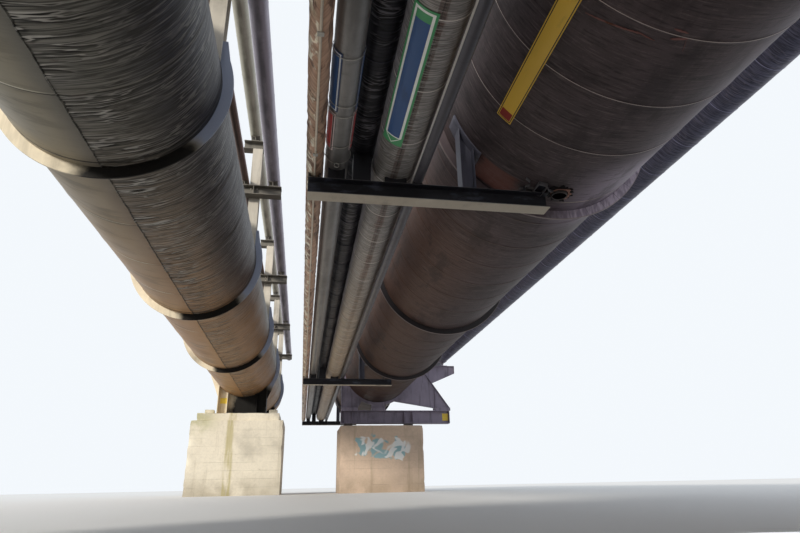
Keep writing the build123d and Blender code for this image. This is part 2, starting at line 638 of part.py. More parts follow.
# Service pipes on the outriggers
brown_z = OUTRIGGER_TOP + BROWN_SHOE + BROWN_PIPE_R + FACE_GAP
silver_z = OUTRIGGER_TOP + SILVER_SHOE + SILVER_PIPE_R + FACE_GAP
black_z = OUTRIGGER_TOP + BLACK_STOOL + BLACK_PIPE_R + FACE_GAP
process_z = OUTRIGGER_TOP + PROCESS_SHOE + PROCESS_PIPE_R + FACE_GAP
grey_z = OUTRIGGER_TOP + GREY_SHOE + GREY_PIPE_R + FACE_GAP

with BuildPart() as brown_pipe:
    tube(RIGHT_X - BROWN_PIPE_X, brown_z, BROWN_PIPE_R, BROWN_PIPE_R - SMALL_WALL, -SERVICE_HALF, SERVICE_HALF)
save(brown_pipe, "brown_pipe")

with BuildPart() as cable_conduit:
    rod(RIGHT_X - BROWN_PIPE_X, brown_z - BROWN_PIPE_R - CONDUIT_R - FACE_GAP, CONDUIT_R,
        -SERVICE_HALF, SERVICE_HALF)
save(cable_conduit, "cable_conduit")

with BuildPart() as silver_pipe:
    tube(RIGHT_X - SILVER_PIPE_X, silver_z, SILVER_PIPE_R, SILVER_PIPE_R - SMALL_WALL, -SERVICE_HALF, SERVICE_HALF)
save(silver_pipe, "silver_pipe")

with BuildPart() as black_pipe:
    tube(RIGHT_X - BLACK_PIPE_X, black_z, BLACK_PIPE_R, BLACK_PIPE_R - CLADDING, -SERVICE_HALF, SERVICE_HALF)
save(black_pipe, "black_pipe")

with BuildPart() as process_pipe:
    tube(RIGHT_X - PROCESS_PIPE_X, process_z, PROCESS_PIPE_R, PROCESS_PIPE_R - CLADDING, -SERVICE_HALF, SERVICE_HALF)
save(process_pipe, "process_pipe")

with BuildPart() as grey_pipe:
    tube(RIGHT_X - GREY_PIPE_X, grey_z, GREY_PIPE_R, GREY_PIPE_R - SMALL_WALL, -SERVICE_HALF, SERVICE_HALF)
save(grey_pipe, "grey_pipe")

# What the service pipes lie on
with BuildPart() as service_shoes:
    for y in OUTRIGGERS:
        cradle(RIGHT_X - SILVER_PIPE_X, y, OUTRIGGER_TOP, SILVER_PIPE_R, SILVER_SHOE, SILVER_CRADLE)
        cradle(RIGHT_X - PROCESS_PIPE_X, y, OUTRIGGER_TOP, PROCESS_PIPE_R, PROCESS_SHOE, PROCESS_CRADLE)
        pad(RIGHT_X - GREY_PIPE_X, y, OUTRIGGER_TOP, GREY_PIPE_R, GREY_SHOE, GREY_PAD)
save(service_shoes, "service_shoes")

# The brown pipe stands on two cheeks, clear of the conduit under it
with BuildPart() as brown_pipe_shoes:
    for y in OUTRIGGERS:
        x = RIGHT_X - BROWN_PIPE_X
        for cheek in (x - BROWN_CHEEK_X, x + BROWN_CHEEK_X):
            block(cheek - SHOE_PLATE / 2, cheek + SHOE_PLATE / 2, y, CRADLE_LENGTH, OUTRIGGER_TOP, brown_z)
        rod(x, brown_z, BROWN_PIPE_R + FACE_GAP, y - CRADLE_LENGTH, y + CRADLE_LENGTH, Mode.SUBTRACT)
save(brown_pipe_shoes, "brown_pipe_shoes")

# Box stools that lift the black pipe over its neighbours
with BuildPart() as black_pipe_stools:
    x = RIGHT_X - BLACK_PIPE_X
    seat = OUTRIGGER_TOP + BLACK_STOOL - STOOL_PAD
    for y in OUTRIGGERS:
        box_tube(x, y, OUTRIGGER_TOP, seat, STOOL_WIDTH, CRADLE_LENGTH, STOOL_WALL)
        block(x - STOOL_WIDTH / 2, x + STOOL_WIDTH / 2, y, CRADLE_LENGTH, seat - SHOE_PLATE, seat)
        pad(x, y, seat, BLACK_PIPE_R, STOOL_PAD, BLACK_PAD)
save(black_pipe_stools, "black_pipe_stools")
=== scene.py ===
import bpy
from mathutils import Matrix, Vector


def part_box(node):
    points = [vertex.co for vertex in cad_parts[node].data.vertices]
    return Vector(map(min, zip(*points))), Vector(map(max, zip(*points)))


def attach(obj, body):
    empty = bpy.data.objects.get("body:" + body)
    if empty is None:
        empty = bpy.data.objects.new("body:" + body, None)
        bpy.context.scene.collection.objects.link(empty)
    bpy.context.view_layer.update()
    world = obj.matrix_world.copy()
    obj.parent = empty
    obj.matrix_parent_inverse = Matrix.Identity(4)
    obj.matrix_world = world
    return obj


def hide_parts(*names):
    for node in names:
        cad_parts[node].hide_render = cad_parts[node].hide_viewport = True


bl_info = {
    "name": "Pipe bridge",
    "version": (1, 0, 0),
    "blender": (4, 5, 0),
    "location": "View3D > Sidebar > Bridge",
    "description": "Dresses two gas mains, their small pipes, steelwork and piers",
    "category": "Add Mesh",
}

from itertools import product
from math import atan2, cos, degrees, hypot, pi, radians, sin, tau

import bmesh
import bpy
from mathutils import Matrix, Vector, noise

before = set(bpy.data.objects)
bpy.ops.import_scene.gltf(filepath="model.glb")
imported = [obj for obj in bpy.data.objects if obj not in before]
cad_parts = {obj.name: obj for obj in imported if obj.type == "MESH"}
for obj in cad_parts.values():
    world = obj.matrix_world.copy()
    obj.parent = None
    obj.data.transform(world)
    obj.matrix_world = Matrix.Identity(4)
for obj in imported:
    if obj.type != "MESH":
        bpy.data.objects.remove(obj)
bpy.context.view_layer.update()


class Run:
    """A straight pipe along Y, read from its node: axis, outside radius and ends."""

    def __init__(self, node):
        low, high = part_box(node)
        self.node = node
        self.x = (low.x + high.x) / 2
        self.z = (low.z + high.z) / 2
        self.radius = (high.x - low.x) / 2
        self.start, self.end = low.y, high.y

    def at(self, angle, radius, y=0.0):
        """A point round the axis: angle in degrees from +X, anticlockwise towards +Z."""
        turn = radians(angle)
        return Vector((self.x + radius * cos(turn), y, self.z + radius * sin(turn)))

    def outward(self, angle):
        """The direction away from the axis at an angle."""
        return self.at(angle, 1.0) - self.at(0, 0)


# The pipes
LEFT = Run("left_cladding")
LEFT_STEEL = Run("left_main_pipe")
RIGHT = Run("right_main_pipe")
PROCESS = Run("process_pipe")
SILVER = Run("silver_pipe")
BROWN = Run("brown_pipe")
GREY = Run("grey_pipe")
CONDUIT = Run("cable_conduit")

# Places and sizes that the solids share
RING_PLATE = 0.022
RING_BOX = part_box("right_rings")
BAY = (RING_BOX[1].y - RING_BOX[0].y - RING_PLATE) / 6
STATIONS = [n * BAY for n in range(-3, 4)]
PIERS = (-2 * BAY, 2 * BAY)
RINGS = [y for y in STATIONS if y not in PIERS]
BEAM_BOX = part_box("outrigger_beams")
OUTRIGGER_FLANGE = 0.18
OUTRIGGER_PITCH = (BEAM_BOX[1].y - BEAM_BOX[0].y - OUTRIGGER_FLANGE) / 3
OUTRIGGERS = [BEAM_BOX[0].y + OUTRIGGER_FLANGE / 2 + OUTRIGGER_PITCH * n for n in range(4)]
OUTRIGGER_FOOT = BEAM_BOX[0].z
OUTRIGGER_TOP = OUTRIGGER_FOOT + 0.171
POST_BEAM = 0.2
PLINTH = 0.25
PLINTH_INSET = 0.15
MAIN_WALL = 0.012
CLAD_WALL = 0.05
SMALL_WALL = 0.008

# Where the seam and the drain are, in degrees round their mains
SEAM_ANGLE = -88.0
SEAM_X = LEFT.x + LEFT.radius * cos(radians(SEAM_ANGLE))
DRAIN_ANGLE = -94.5

# How finely the mains and the concrete are divided
CLAD_STEPS = 144
BARE_STEPS = 160
CREASE_PITCH = 0.032
CONCRETE_PITCH = 0.11

# The angle up to which edges are shaded smooth, and the one from which they are broken
SMOOTH_UP_TO = radians(40)
BEVEL_FROM = radians(35)

# The photograph's camera, placed from the bare main's axis
CAMERA_FROM_MAIN = 2.681
CAMERA_STATION = 10.38
CAMERA_HEIGHT = 0.20
CAMERA_PITCH = 0.3763
CAMERA_YAW = 0.1727
CAMERA_ROLL = -0.0205
CAMERA_LENS = 24.96
CAMERA_NEAR = 2.2
CAMERA_FAR = 400

# The studio: what lights the object, and what the camera sees behind it
FLOOR_HALF = 160
FLOOR_LIT = (0.60, 0.58, 0.55)
FLOOR_SEEN = (0.82, 0.81, 0.79)
SKY_LIGHT = ((0.86, 0.92, 1.0, 1), 0.72)
SKY_SEEN = ((0.90, 0.94, 0.98, 1), 1.0)
SUN_STRENGTH = 3.0
SUN_SPREAD = radians(10)
SUN_COLOUR = (1.0, 0.95, 0.86)
SUN_FROM = (-0.66, -0.66, 0.30)


def paint(red, green, blue):
    """A paint chart's 0 to 255 colour as the linear colour that a shader takes."""
    shares = [value / 255 for value in (red, green, blue)]
    return tuple(share / 12.92 if share <= 0.04045 else ((share + 0.055) / 1.055) ** 2.4 for share in shares)


def mixed(first, second, share):
    """A colour part of the way from one to another."""
    return tuple(a + (b - a) * share for a, b in zip(first, second))


def tint(value, share):
    """A colour made darker, with share below 1, or lighter, with share above 1."""
    return tuple(min(1.0, channel * share) for channel in value)


def measure(name, value, least, words):
    """A size that a user can change."""
    return bpy.props.FloatProperty(name=name, description=words, default=value, min=least, unit="LENGTH")


def colour(name, value, words):
    """A colour that a user can change."""
    return bpy.props.FloatVectorProperty(
        name=name, description=words, default=value, size=3, min=0.0, max=1.0, subtype="COLOR")


class BridgeSizes(bpy.types.PropertyGroup):
    """Sizes of what the solids leave to the dressing."""

    sheet: measure("Sheet width", 1.333, 0.5, "Width of one cladding sheet along the clad main")
    last_sheet: measure("Last sheet", 1.13, 0.2, "From the last lap of a bay to the ring after it")
    lap: measure("Lap", 0.004, 0.0, "How far a cladding sheet stands over the one before")
    wrinkle: measure("Wrinkle height", 0.014, 0.0, "Height of the creases in the clad main's skin")
    course: measure("Plate course", 0.7265, 0.2, "From one girth weld of the bare main to the next")
    first_course: measure("First course", 1.159, 0.2,
                          "From a ring of the bare main back to the girth weld before it")
    bead: measure("Weld bead", 0.004, 0.0, "Height of a girth weld")
    bolt: measure("Bolt", 0.036, 0.01, "Across the flats of a bolt head")
    chip: measure("Chipped edge", 0.03, 0.0, "Deepest chip in the edges of the piers")


class BridgeColours(bpy.types.PropertyGroup):
    """Base colours of the finishes."""

    cladding: colour("Main cladding", paint(112, 110, 104), "Skin of the clad main")
    umber: colour("Bare main", paint(82, 72, 74), "Old coating of the bare main")
    ring: colour("Ring paint", paint(226, 214, 190), "Rings and saddles of the clad main")
    post: colour("Post paint", paint(196, 188, 174), "Posts and beams of the clad main")
    girder: colour("Girder paint", paint(140, 131, 148), "Girders, saddles and brackets of the bare main")
    outrigger: colour("Outrigger paint", paint(34, 34, 42), "Outrigger beams and hangers")
    rust: colour("Rust", paint(112, 66, 42), "Rust on any steel")
    outer: colour("Outer cladding", paint(104, 104, 126), "Skin of the pipe on the brackets")
    black: colour("Black cladding", paint(38, 38, 46), "Skin of the dark service pipe")
    silver: colour("Silver cladding", paint(146, 144, 143), "Skin of the silver pipe")
    process: colour("Process cladding", paint(158, 153, 150), "Skin of the biggest service pipe")
    brown: colour("Brown cladding", paint(206, 168, 144), "Skin of the crinkled brown pipe")
    pale: colour("Pale pipe", paint(186, 182, 166), "Upper small pipe of the clad main")
    dark: colour("Dark pipe", paint(176, 170, 184), "Outer small pipe of the clad main")
    grey: colour("Grey pipe", paint(84, 82, 90), "Small pipe beside the hangers")
    light_concrete: colour("Light concrete", paint(228, 219, 200), "Piers of the clad main")
    tan_concrete: colour("Tan concrete", paint(212, 188, 166), "Piers of the bare main")


class Finish:
    """A node material in the making, whose colour so far is its body.

    What a method is given may be a socket, a plain value, or the letter of a coordinate of the place.
    A share goes from 0 to 1.
    """

    def __init__(self, name, body=None, metallic=0.0, roughness=0.6, specular=0.5):
        self.material = bpy.data.materials.new(name)
        self.material.use_nodes = True
        self.tree = self.material.node_tree
        self.shader = self.tree.nodes["Principled BSDF"]
        self.shader.inputs["Metallic"].default_value = metallic
        self.shader.inputs["Roughness"].default_value = roughness
        self.shader.inputs["Specular IOR Level"].default_value = specular
        self.place = self.add("ShaderNodeTexCoord").outputs["Object"]
        self.rust = bpy.context.scene.bridge_colours.rust[:]
        self.body = body

    def add(self, kind, inputs=None, **settings):
        """A node with its settings and what goes into it."""
        node = self.tree.nodes.new(kind)
        for key, value in settings.items():
            setattr(node, key, value)
        for key, value in (inputs or {}).items():
            self.feed(node.inputs[key], value)
        return node

    def feed(self, socket, value):
        """Sets an input, or links it to what feeds it."""
        if isinstance(value, str):
            value = self.axis(value)
        if isinstance(value, bpy.types.NodeSocket):
            self.tree.links.new(value, socket)
        elif socket.type == "RGBA" and len(value) == 3:
            socket.default_value = (*value, 1.0)
        else:
            socket.default_value = value

    def noise(self, scale, stretch=(1, 1, 1), detail=5.0, roughness=0.55, distortion=0.0, shift=(0, 0, 0)):
        """Clouds, stretched and shifted by their own amounts."""
        place = self.add("ShaderNodeMapping", {"Vector": self.place, "Location": shift, "Scale": stretch})
        inputs = {"Vector": place.outputs["Vector"], "Scale": scale, "Detail": detail,
                  "Roughness": roughness, "Distortion": distortion}
        return self.add("ShaderNodeTexNoise", inputs).outputs["Fac"]

    def cloud(self, low, high, scale, *more, **settings):
        """A share that follows clouds, 0 where they are at low and 1 at high."""
        return self.band(self.noise(scale, *more, **settings), low, high)

    def lines(self, stretch, shift=(0, 0, 0), distortion=0.3):
        """A net of thin wandering lines: 0 on a line, and more away from it."""
        field = self.noise(1.0, stretch, 2.0, 0.5, distortion, shift)
        return self.math("ABSOLUTE", self.math("SUBTRACT", field, 0.5))

    def math(self, operation, first, *others):
        """An operation on a value and the next, and then on the result and each further one."""
        for value in others or (0.0,):
            first = self.add("ShaderNodeMath", {0: first, 1: value}, operation=operation).outputs[0]
        return first

    def plus(self, *values):
        """All the values added up."""
        return self.math("ADD", *values)

    def times(self, *values):
        """All the values multiplied, or the only one as it is."""
        return self.math("MULTIPLY", *values) if len(values) > 1 else values[0]

    def at_least(self, low, share):
        """A share that goes from low to 1."""
        return self.plus(self.times(share, 1 - low), low)

    def wandering(self, value, reach, scale, detail):
        """A value that wanders by up to a reach to either side."""
        return self.plus(value, self.times(self.noise(scale, detail=detail), 2 * reach), -reach)

    def axis(self, letter, place=None):
        """One coordinate of the place, or of another vector."""
        return self.add("ShaderNodeSeparateXYZ", {0: place or self.place}).outputs[letter]

    def off(self, letter, centre):
        """How far one coordinate of the place is from a centre."""
        return self.math("SUBTRACT", letter, centre)

    def angle(self, run):
        """Degrees round a pipe's axis from +X, from -180 to 180."""
        return self.times(self.math("ARCTAN2", self.off("Z", run.z), self.off("X", run.x)), 180 / pi)

    def from_axis(self, run):
        """Distance from a pipe's axis."""
        dx, dz = self.off("X", run.x), self.off("Z", run.z)
        return self.math("SQRT", self.plus(self.times(dx, dx), self.times(dz, dz)))

    def facing(self, letter):
        """One coordinate of the surface's direction."""
        return self.axis(letter, self.add("ShaderNodeNewGeometry").outputs["Normal"])

    def tilt(self, low, high):
        """A share that follows how far the surface faces up, or down where high is the lower."""
        return self.band(self.facing("Z"), low, high)

    def band(self, value, low, high):
        """0 below low and 1 above high, with a soft step between. low may be above high."""
        rising = low < high
        inputs = {"Value": value, "From Min": min(low, high), "From Max": max(low, high),
                  "To Min": 0.0 if rising else 1.0, "To Max": 1.0 if rising else 0.0}
        node = self.add("ShaderNodeMapRange", inputs, interpolation_type="SMOOTHSTEP", clamp=True)
        return node.outputs["Result"]

    def window(self, value, low, high, soft):
        """1 between low and high, with soft edges."""
        return self.times(self.band(value, low - soft, low), self.band(value, high + soft, high))

    def mix(self, share, first, second):
        """The first colour where share is 0 and the second where it is 1."""
        inputs = {0: share, 6: first, 7: second}
        node = self.add("ShaderNodeMix", inputs, data_type="RGBA", blend_type="MIX", clamp_factor=True)
        return node.outputs[2]

    def lay(self, tone, *shares):
        """Lays a colour over the body, as far as all the shares together say."""
        self.body = self.mix(self.times(*shares), self.body, tone)

    def shaded(self, base, darker, lighter, scale, stretch=(1, 1, 1)):
        """A base colour that wanders between a darker and a lighter one."""
        cloud = self.noise(scale, stretch, detail=7, roughness=0.62)
        low = self.mix(self.band(cloud, 0.5, 0.25), base, darker)
        return self.mix(self.band(cloud, 0.52, 0.78), low, lighter)

    def finish(self, rough=None, bumps=()):
        """Plugs in the body, the roughness and any heights: (height, how deep in metres)."""
        self.feed(self.shader.inputs["Base Color"], self.body)
        if rough is not None:
            self.feed(self.shader.inputs["Roughness"], rough)
        normal = {}
        for height, depth in bumps:
            node = self.add("ShaderNodeBump", {"Height": height, "Distance": depth, **normal})
            normal = {"Normal": node.outputs["Normal"]}
        for name, value in normal.items():
            self.feed(self.shader.inputs[name], value)
        return self.material


# Finishes. A function that is given as extra lays more colours over the finish in the making.

def rusty_paint(name, base, amount=0.5, roughness=0.62, streaks=0.35, specular=0.5, extra=None):
    """Old paint with clouds of dirt, rust in patches and runs, and a pitted face."""
    made = Finish(name, metallic=0.1, roughness=roughness, specular=specular)
    made.body = made.shaded(base, tint(base, 0.55), tint(base, 1.3), 0.9)
    runs = made.noise(9.0, (1, 1, 0.1), detail=5)
    made.lay(tint(base, 0.4), made.band(runs, 0.52, 0.7), streaks)
    made.lay(tint(base, 1.35), made.band(runs, 0.45, 0.3), streaks * 0.6)
    if extra:
        extra(made)
    spots = made.noise(3.1, detail=9, roughness=0.7)
    fine = made.noise(38.0, detail=4)
    speckled = made.plus(spots, made.times(fine, 0.22))
    rusted = made.band(speckled, 0.86 - 0.22 * amount, 0.93 - 0.2 * amount)
    made.lay(made.mix(made.noise(24.0, detail=3), made.rust, tint(made.rust, 0.45)), rusted)
    rough = made.plus(made.times(rusted, 0.25), roughness - 0.08)
    return made.finish(rough, ((fine, 0.0012), (rusted, 0.0015)))


def ring_shade_and_sky_light(made):
    """Painted light on a ring's faces: a near-black painted shadow of the cladding at the lower right, and a
    cool painted sky light above it.
    """
    turn = made.wandering(made.angle(LEFT), 12.0, 2.2, detail=4)
    # Cool painted sky light on the right of the ring's faces
    made.lay(paint(138, 152, 182), made.window(turn, -34.0, 80.0, 12.0), 0.85)
    # Near-black painted shadow of the cladding at the ring's lower right
    made.lay(paint(8, 7, 8), made.window(turn, -96.0, -46.0, 12.0), 0.99)


def outrigger_painted_light(made):
    """Pale blue-grey patches on an outrigger's flanges, part wear and part painted sheen; painted highlights
    along the flanges' edges; and painted light bounced from the ground on the pale underside of the lower
    flange.
    """
    # Pale blue-grey patches on the flanges: part wear, part painted sky sheen
    wear_and_sheen = made.cloud(0.52, 0.7, 3.2, (1, 1, 2.5), detail=6, roughness=0.65)
    made.lay(paint(104, 110, 128), wear_and_sheen, 0.4)
    # Painted highlights along the lower flange and the top edge
    foot_highlight = made.band("Z", OUTRIGGER_FOOT + 0.014, OUTRIGGER_FOOT + 0.01)
    top_highlight = made.window("Z", OUTRIGGER_TOP - 0.004, OUTRIGGER_TOP + 0.004, 0.002)
    made.lay(paint(150, 148, 150), made.math("MAXIMUM", foot_highlight, top_highlight), 0.45)
    # Painted light bounced from the ground on the underside of the lower flange
    bounce_lit_tone = made.shaded(paint(186, 176, 160), paint(134, 124, 112), paint(208, 200, 186), 2.4, (1, 0.6, 1))
    foot = made.band("Z", OUTRIGGER_FOOT + 0.012, OUTRIGGER_FOOT + 0.006)
    made.lay(bounce_lit_tone, made.tilt(-0.6, -0.9), foot)


def ring_faces(made):
    """Near-black faces with a thin pale rim, and a lavender grey painted sky light at the lower right of the
    nearest ring.
    """
    far = made.band("Y", -BAY * 0.6, -BAY * 0.5)
    face = made.band(made.math("ABSOLUTE", made.facing("Y")), 0.6, 0.8)
    made.lay(paint(38, 33, 36), face, far)
    near = made.math("SUBTRACT", 1.0, far)
    # Painted lavender sky light on the lower right faces of the nearest ring
    right = made.times(face, near, made.band(made.off("X", RIGHT.x), -0.25, 0.35))
    streaks = made.cloud(0.35, 0.65, 26.0, (1, 1, 0.3), detail=5)
    made.lay(made.mix(streaks, paint(150, 138, 156), paint(206, 194, 210)), right, 0.85)
    joint = made.math("ABSOLUTE", made.math("SINE", made.times(made.angle(RIGHT), 0.31)))
    made.lay(paint(44, 38, 44), right, made.band(joint, 0.05, 0.02), 0.7)
    rim = made.band(made.from_axis(RIGHT), RIGHT.radius + 0.094, RIGHT.radius + 0.1)
    made.lay(paint(150, 136, 134), rim, 0.7)


def creased_skin(name, run, base, creases, reach, depth, strength, grain, patches, metallic=0.3, specular=0.3,
                 busy=None, extra=None, highlight_tone=None, slant=0.0):
    """A thin sheet skin with sharp creases that run round the pipe, each a dark line of painted shade beside
    a bright line of painted highlight, and painted lighter where it faces up.

    creases and reach say how close they come along the pipe and round it, busy where they are, and slant
    how far they lean.
    """
    made = Finish(name, metallic=metallic, roughness=0.45, specular=specular)
    if slant:
        aside = made.times(made.math("ABSOLUTE", made.off("X", run.x)), slant)
        leaning = made.add("ShaderNodeCombineXYZ", {"X": "X", "Y": made.plus("Y", aside), "Z": "Z"})
        made.place = leaning.outputs["Vector"]
    fold = made.lines((reach, creases, reach))
    ridge_highlight = made.lines((reach, creases, reach), shift=(0, 0.24, 0))
    fine = made.lines((reach * 0.9, creases * 1.9, reach * 0.9), shift=(5, 0, 3), distortion=0.15)
    deep = made.cloud(0.36, 0.62, 1.0, (reach * 0.8, creases * 0.16, reach * 0.8), detail=4)
    if busy:
        where = busy(made)
        deep = made.times(deep, where)
        grain = made.times(made.band(where, 0.05, 0.3), grain)
    made.body = made.shaded(base, tint(base, 0.62), tint(base, 1.3), 0.7, (1, 0.6, 1))
    if extra:
        extra(made)
    # Painted shade in the fine creases, and painted light between them
    made.lay(tint(base, 0.22), made.band(fine, 0.09, 0.02), grain)
    made.lay(tint(base, 1.7), made.band(fine, 0.11, 0.2), grain, 0.6)
    # Painted shade in the deep creases
    made.lay(tint(base, 0.06), made.band(fold, 0.11, 0.03), deep, strength)
    # Painted highlight on the ridge beside each crease
    highlight_tone = highlight_tone or mixed(tint(base, 3.2), paint(170, 166, 170), 0.3)
    made.lay(highlight_tone, made.band(ridge_highlight, 0.045, 0.012), deep, strength * 0.85)
    # Faces that look up are painted lighter, as if lit from above
    made.lay(tint(base, 1.5), made.tilt(0.2, 0.9), 0.5)
    made.lay(made.rust, made.cloud(0.66, 0.72, 1.3, (1, 1.6, 1), detail=8, roughness=0.7), patches)
    rough = made.plus(made.times(made.noise(2.0, detail=5), 0.3), 0.3)
    height = made.times(made.math("MINIMUM", fold, 0.12), deep)
    return made.finish(rough, ((height, depth), (made.times(fine, grain), depth * 0.5)))


def from_seam(made):
    """How far a place is to the right of the clad main's ragged seam."""
    jag = made.times(made.noise(1.0, (0, 3.2, 0), detail=6, roughness=0.65), 0.12)
    return made.math("SUBTRACT", "X", SEAM_X - 0.06, jag)


def seam_side(made):
    """Hardly anything on the left of the clad main's seam, and most on its right, beside it and near."""
    place = from_seam(made)
    right = made.math("MAXIMUM", made.band(place, -0.008, 0.008), 0.04)
    near = made.at_least(0.45, made.band("Y", BAY * 0.4, -BAY))
    beside = made.at_least(0.38, made.band(place, 0.62, 0.22))
    return made.times(right, near, beside)


def main_tones(made):
    """The clad main's tones: paler olive on the left, partly the smoother sheet and partly painted light from
    the left; warm painted ground-bounce light on the far undersides; darker blue-grey on the right flank of
    the near bays; laps with a painted highlight before each edge and a painted shadow behind it; a torn seam
    and blots beside it.
    """
    sizes = bpy.context.scene.bridge_sizes
    across = made.off("X", LEFT.x)
    left = made.band(across, 0.05, -0.25)
    # Paler olive on the left: partly the smoother sheet, partly painted light from the left
    made.lay(paint(150, 142, 122), left, 0.75)
    # Warm painted light bounced from the ground on the far undersides
    made.lay(paint(182, 138, 94), made.band("Y", -BAY * 1.3, BAY * 0.3), made.tilt(0.1, -0.6), 0.85)
    # Darker blue-grey on the right flank of the near bays
    made.lay(paint(50, 52, 66), made.band(across, 0.4, 0.95), made.band("Y", BAY * 0.6, -BAY * 0.4), 0.85)
    in_bay = made.math("FLOORED_MODULO", made.off("Y", STATIONS[0]), BAY)
    last_lap = BAY - RING_PLATE / 2 - sizes.last_sheet
    from_lap = made.math("FLOORED_MODULO", made.math("SUBTRACT", in_bay, last_lap), sizes.sheet)
    # Painted highlight just before each lap's edge, stronger on the left
    before = made.window(from_lap, sizes.sheet - 0.015, sizes.sheet - 0.001, 0.002)
    made.lay(paint(206, 200, 184), before, made.math("MAXIMUM", left, 0.15))
    # Painted shadow behind each lap's step
    made.lay(paint(30, 28, 26), made.window(from_lap, 0.002, 0.02, 0.002), 0.8)
    stains = made.cloud(0.5, 0.64, 1.0, (1.3, 6.0, 1.3), detail=7, roughness=0.66, shift=(7, 3, 2))
    made.lay(paint(80, 74, 62), left, stains, 0.4)
    seam = made.band(made.math("ABSOLUTE", from_seam(made)), 0.011, 0.004)
    made.lay(paint(26, 22, 20), seam, made.cloud(0.35, 0.55, 1.0, (0, 1.6, 0), detail=3), 0.8)
    blots = made.cloud(0.6, 0.68, 1.0, (2.4, 7.0, 2.4), detail=6, roughness=0.65, shift=(2, 7, 1))
    made.lay(paint(74, 50, 46), made.window(across, 0.05, 0.5, 0.1), blots, 0.45)


def folded_left(made):
    """1 on the left of the brown pipe and 0.25 on its right."""
    left = made.band(made.off("X", BROWN.x), -BROWN.radius * 0.1, -BROWN.radius * 0.5)
    return made.math("MAXIMUM", left, 0.25)


def fold_shade_and_highlights(made):
    """Painted shade in the hollows of the folds, and bright golden painted highlights along the left of the
    brown pipe.
    """
    # Painted shade in the hollows of the folds
    dark = made.cloud(0.52, 0.6, 1.0, (11.0, 3.6, 11.0), detail=4, distortion=0.8, shift=(4, 2, 0))
    made.lay(paint(84, 58, 48), dark, 0.75)
    radius = BROWN.radius
    side = made.window(made.off("X", BROWN.x), -radius * 0.8, -radius * 0.3, radius * 0.25)
    # Golden painted highlights on the folds along the left
    streaks = made.cloud(0.5, 0.57, 1.0, (9.0, 4.2, 9.0), detail=3, distortion=0.9)
    made.lay(paint(255, 246, 226), side, streaks)


def seam_and_stains(made):
    """The biggest service pipe's stitched seam, stains and scratches beside it, a painted lavender sky sheen
    on its left flank, and warm painted ground-bounce light on its far undersides.
    """
    angle = made.angle(PROCESS)
    # Painted lavender sky sheen on the left flank
    sky_sheen = made.math("MAXIMUM", made.band(angle, -150.0, -172.0), made.band(angle, 100.0, 160.0))
    made.lay(paint(188, 184, 200), sky_sheen, 0.6)
    made.lay(paint(92, 70, 64), made.window(angle, -104.0, -90.0, 2.5), 0.7)
    stitches = made.band(made.math("SINE", made.times("Y", tau / 0.026)), 0.1, 0.6)
    made.lay(paint(38, 32, 32), made.window(angle, -98.5, -92.5, 0.6), stitches, 0.65)
    made.lay(paint(46, 40, 38), made.window(angle, -97.2, -96.2, 0.4))
    stain = made.cloud(0.5, 0.62, 3.0, (1, 0.7, 1), detail=8, roughness=0.7)
    made.lay(paint(104, 58, 46), made.window(angle, -110.0, -88.0, 4.0), stain, 0.45)
    scratches = made.band(made.lines((9.0, 9.0, 9.0), distortion=1.2), 0.03, 0.01)
    patch = made.times(made.window(angle, -87.0, -78.0, 1.0), made.window("Y", -6.62, -6.3, 0.03))
    made.lay(paint(196, 190, 180), scratches, patch, 0.7)
    # Warm painted light bounced from the ground on the far undersides
    made.lay(paint(206, 180, 148), made.band("Y", -5.0, 3.0), made.tilt(0.1, -0.6), 0.8)


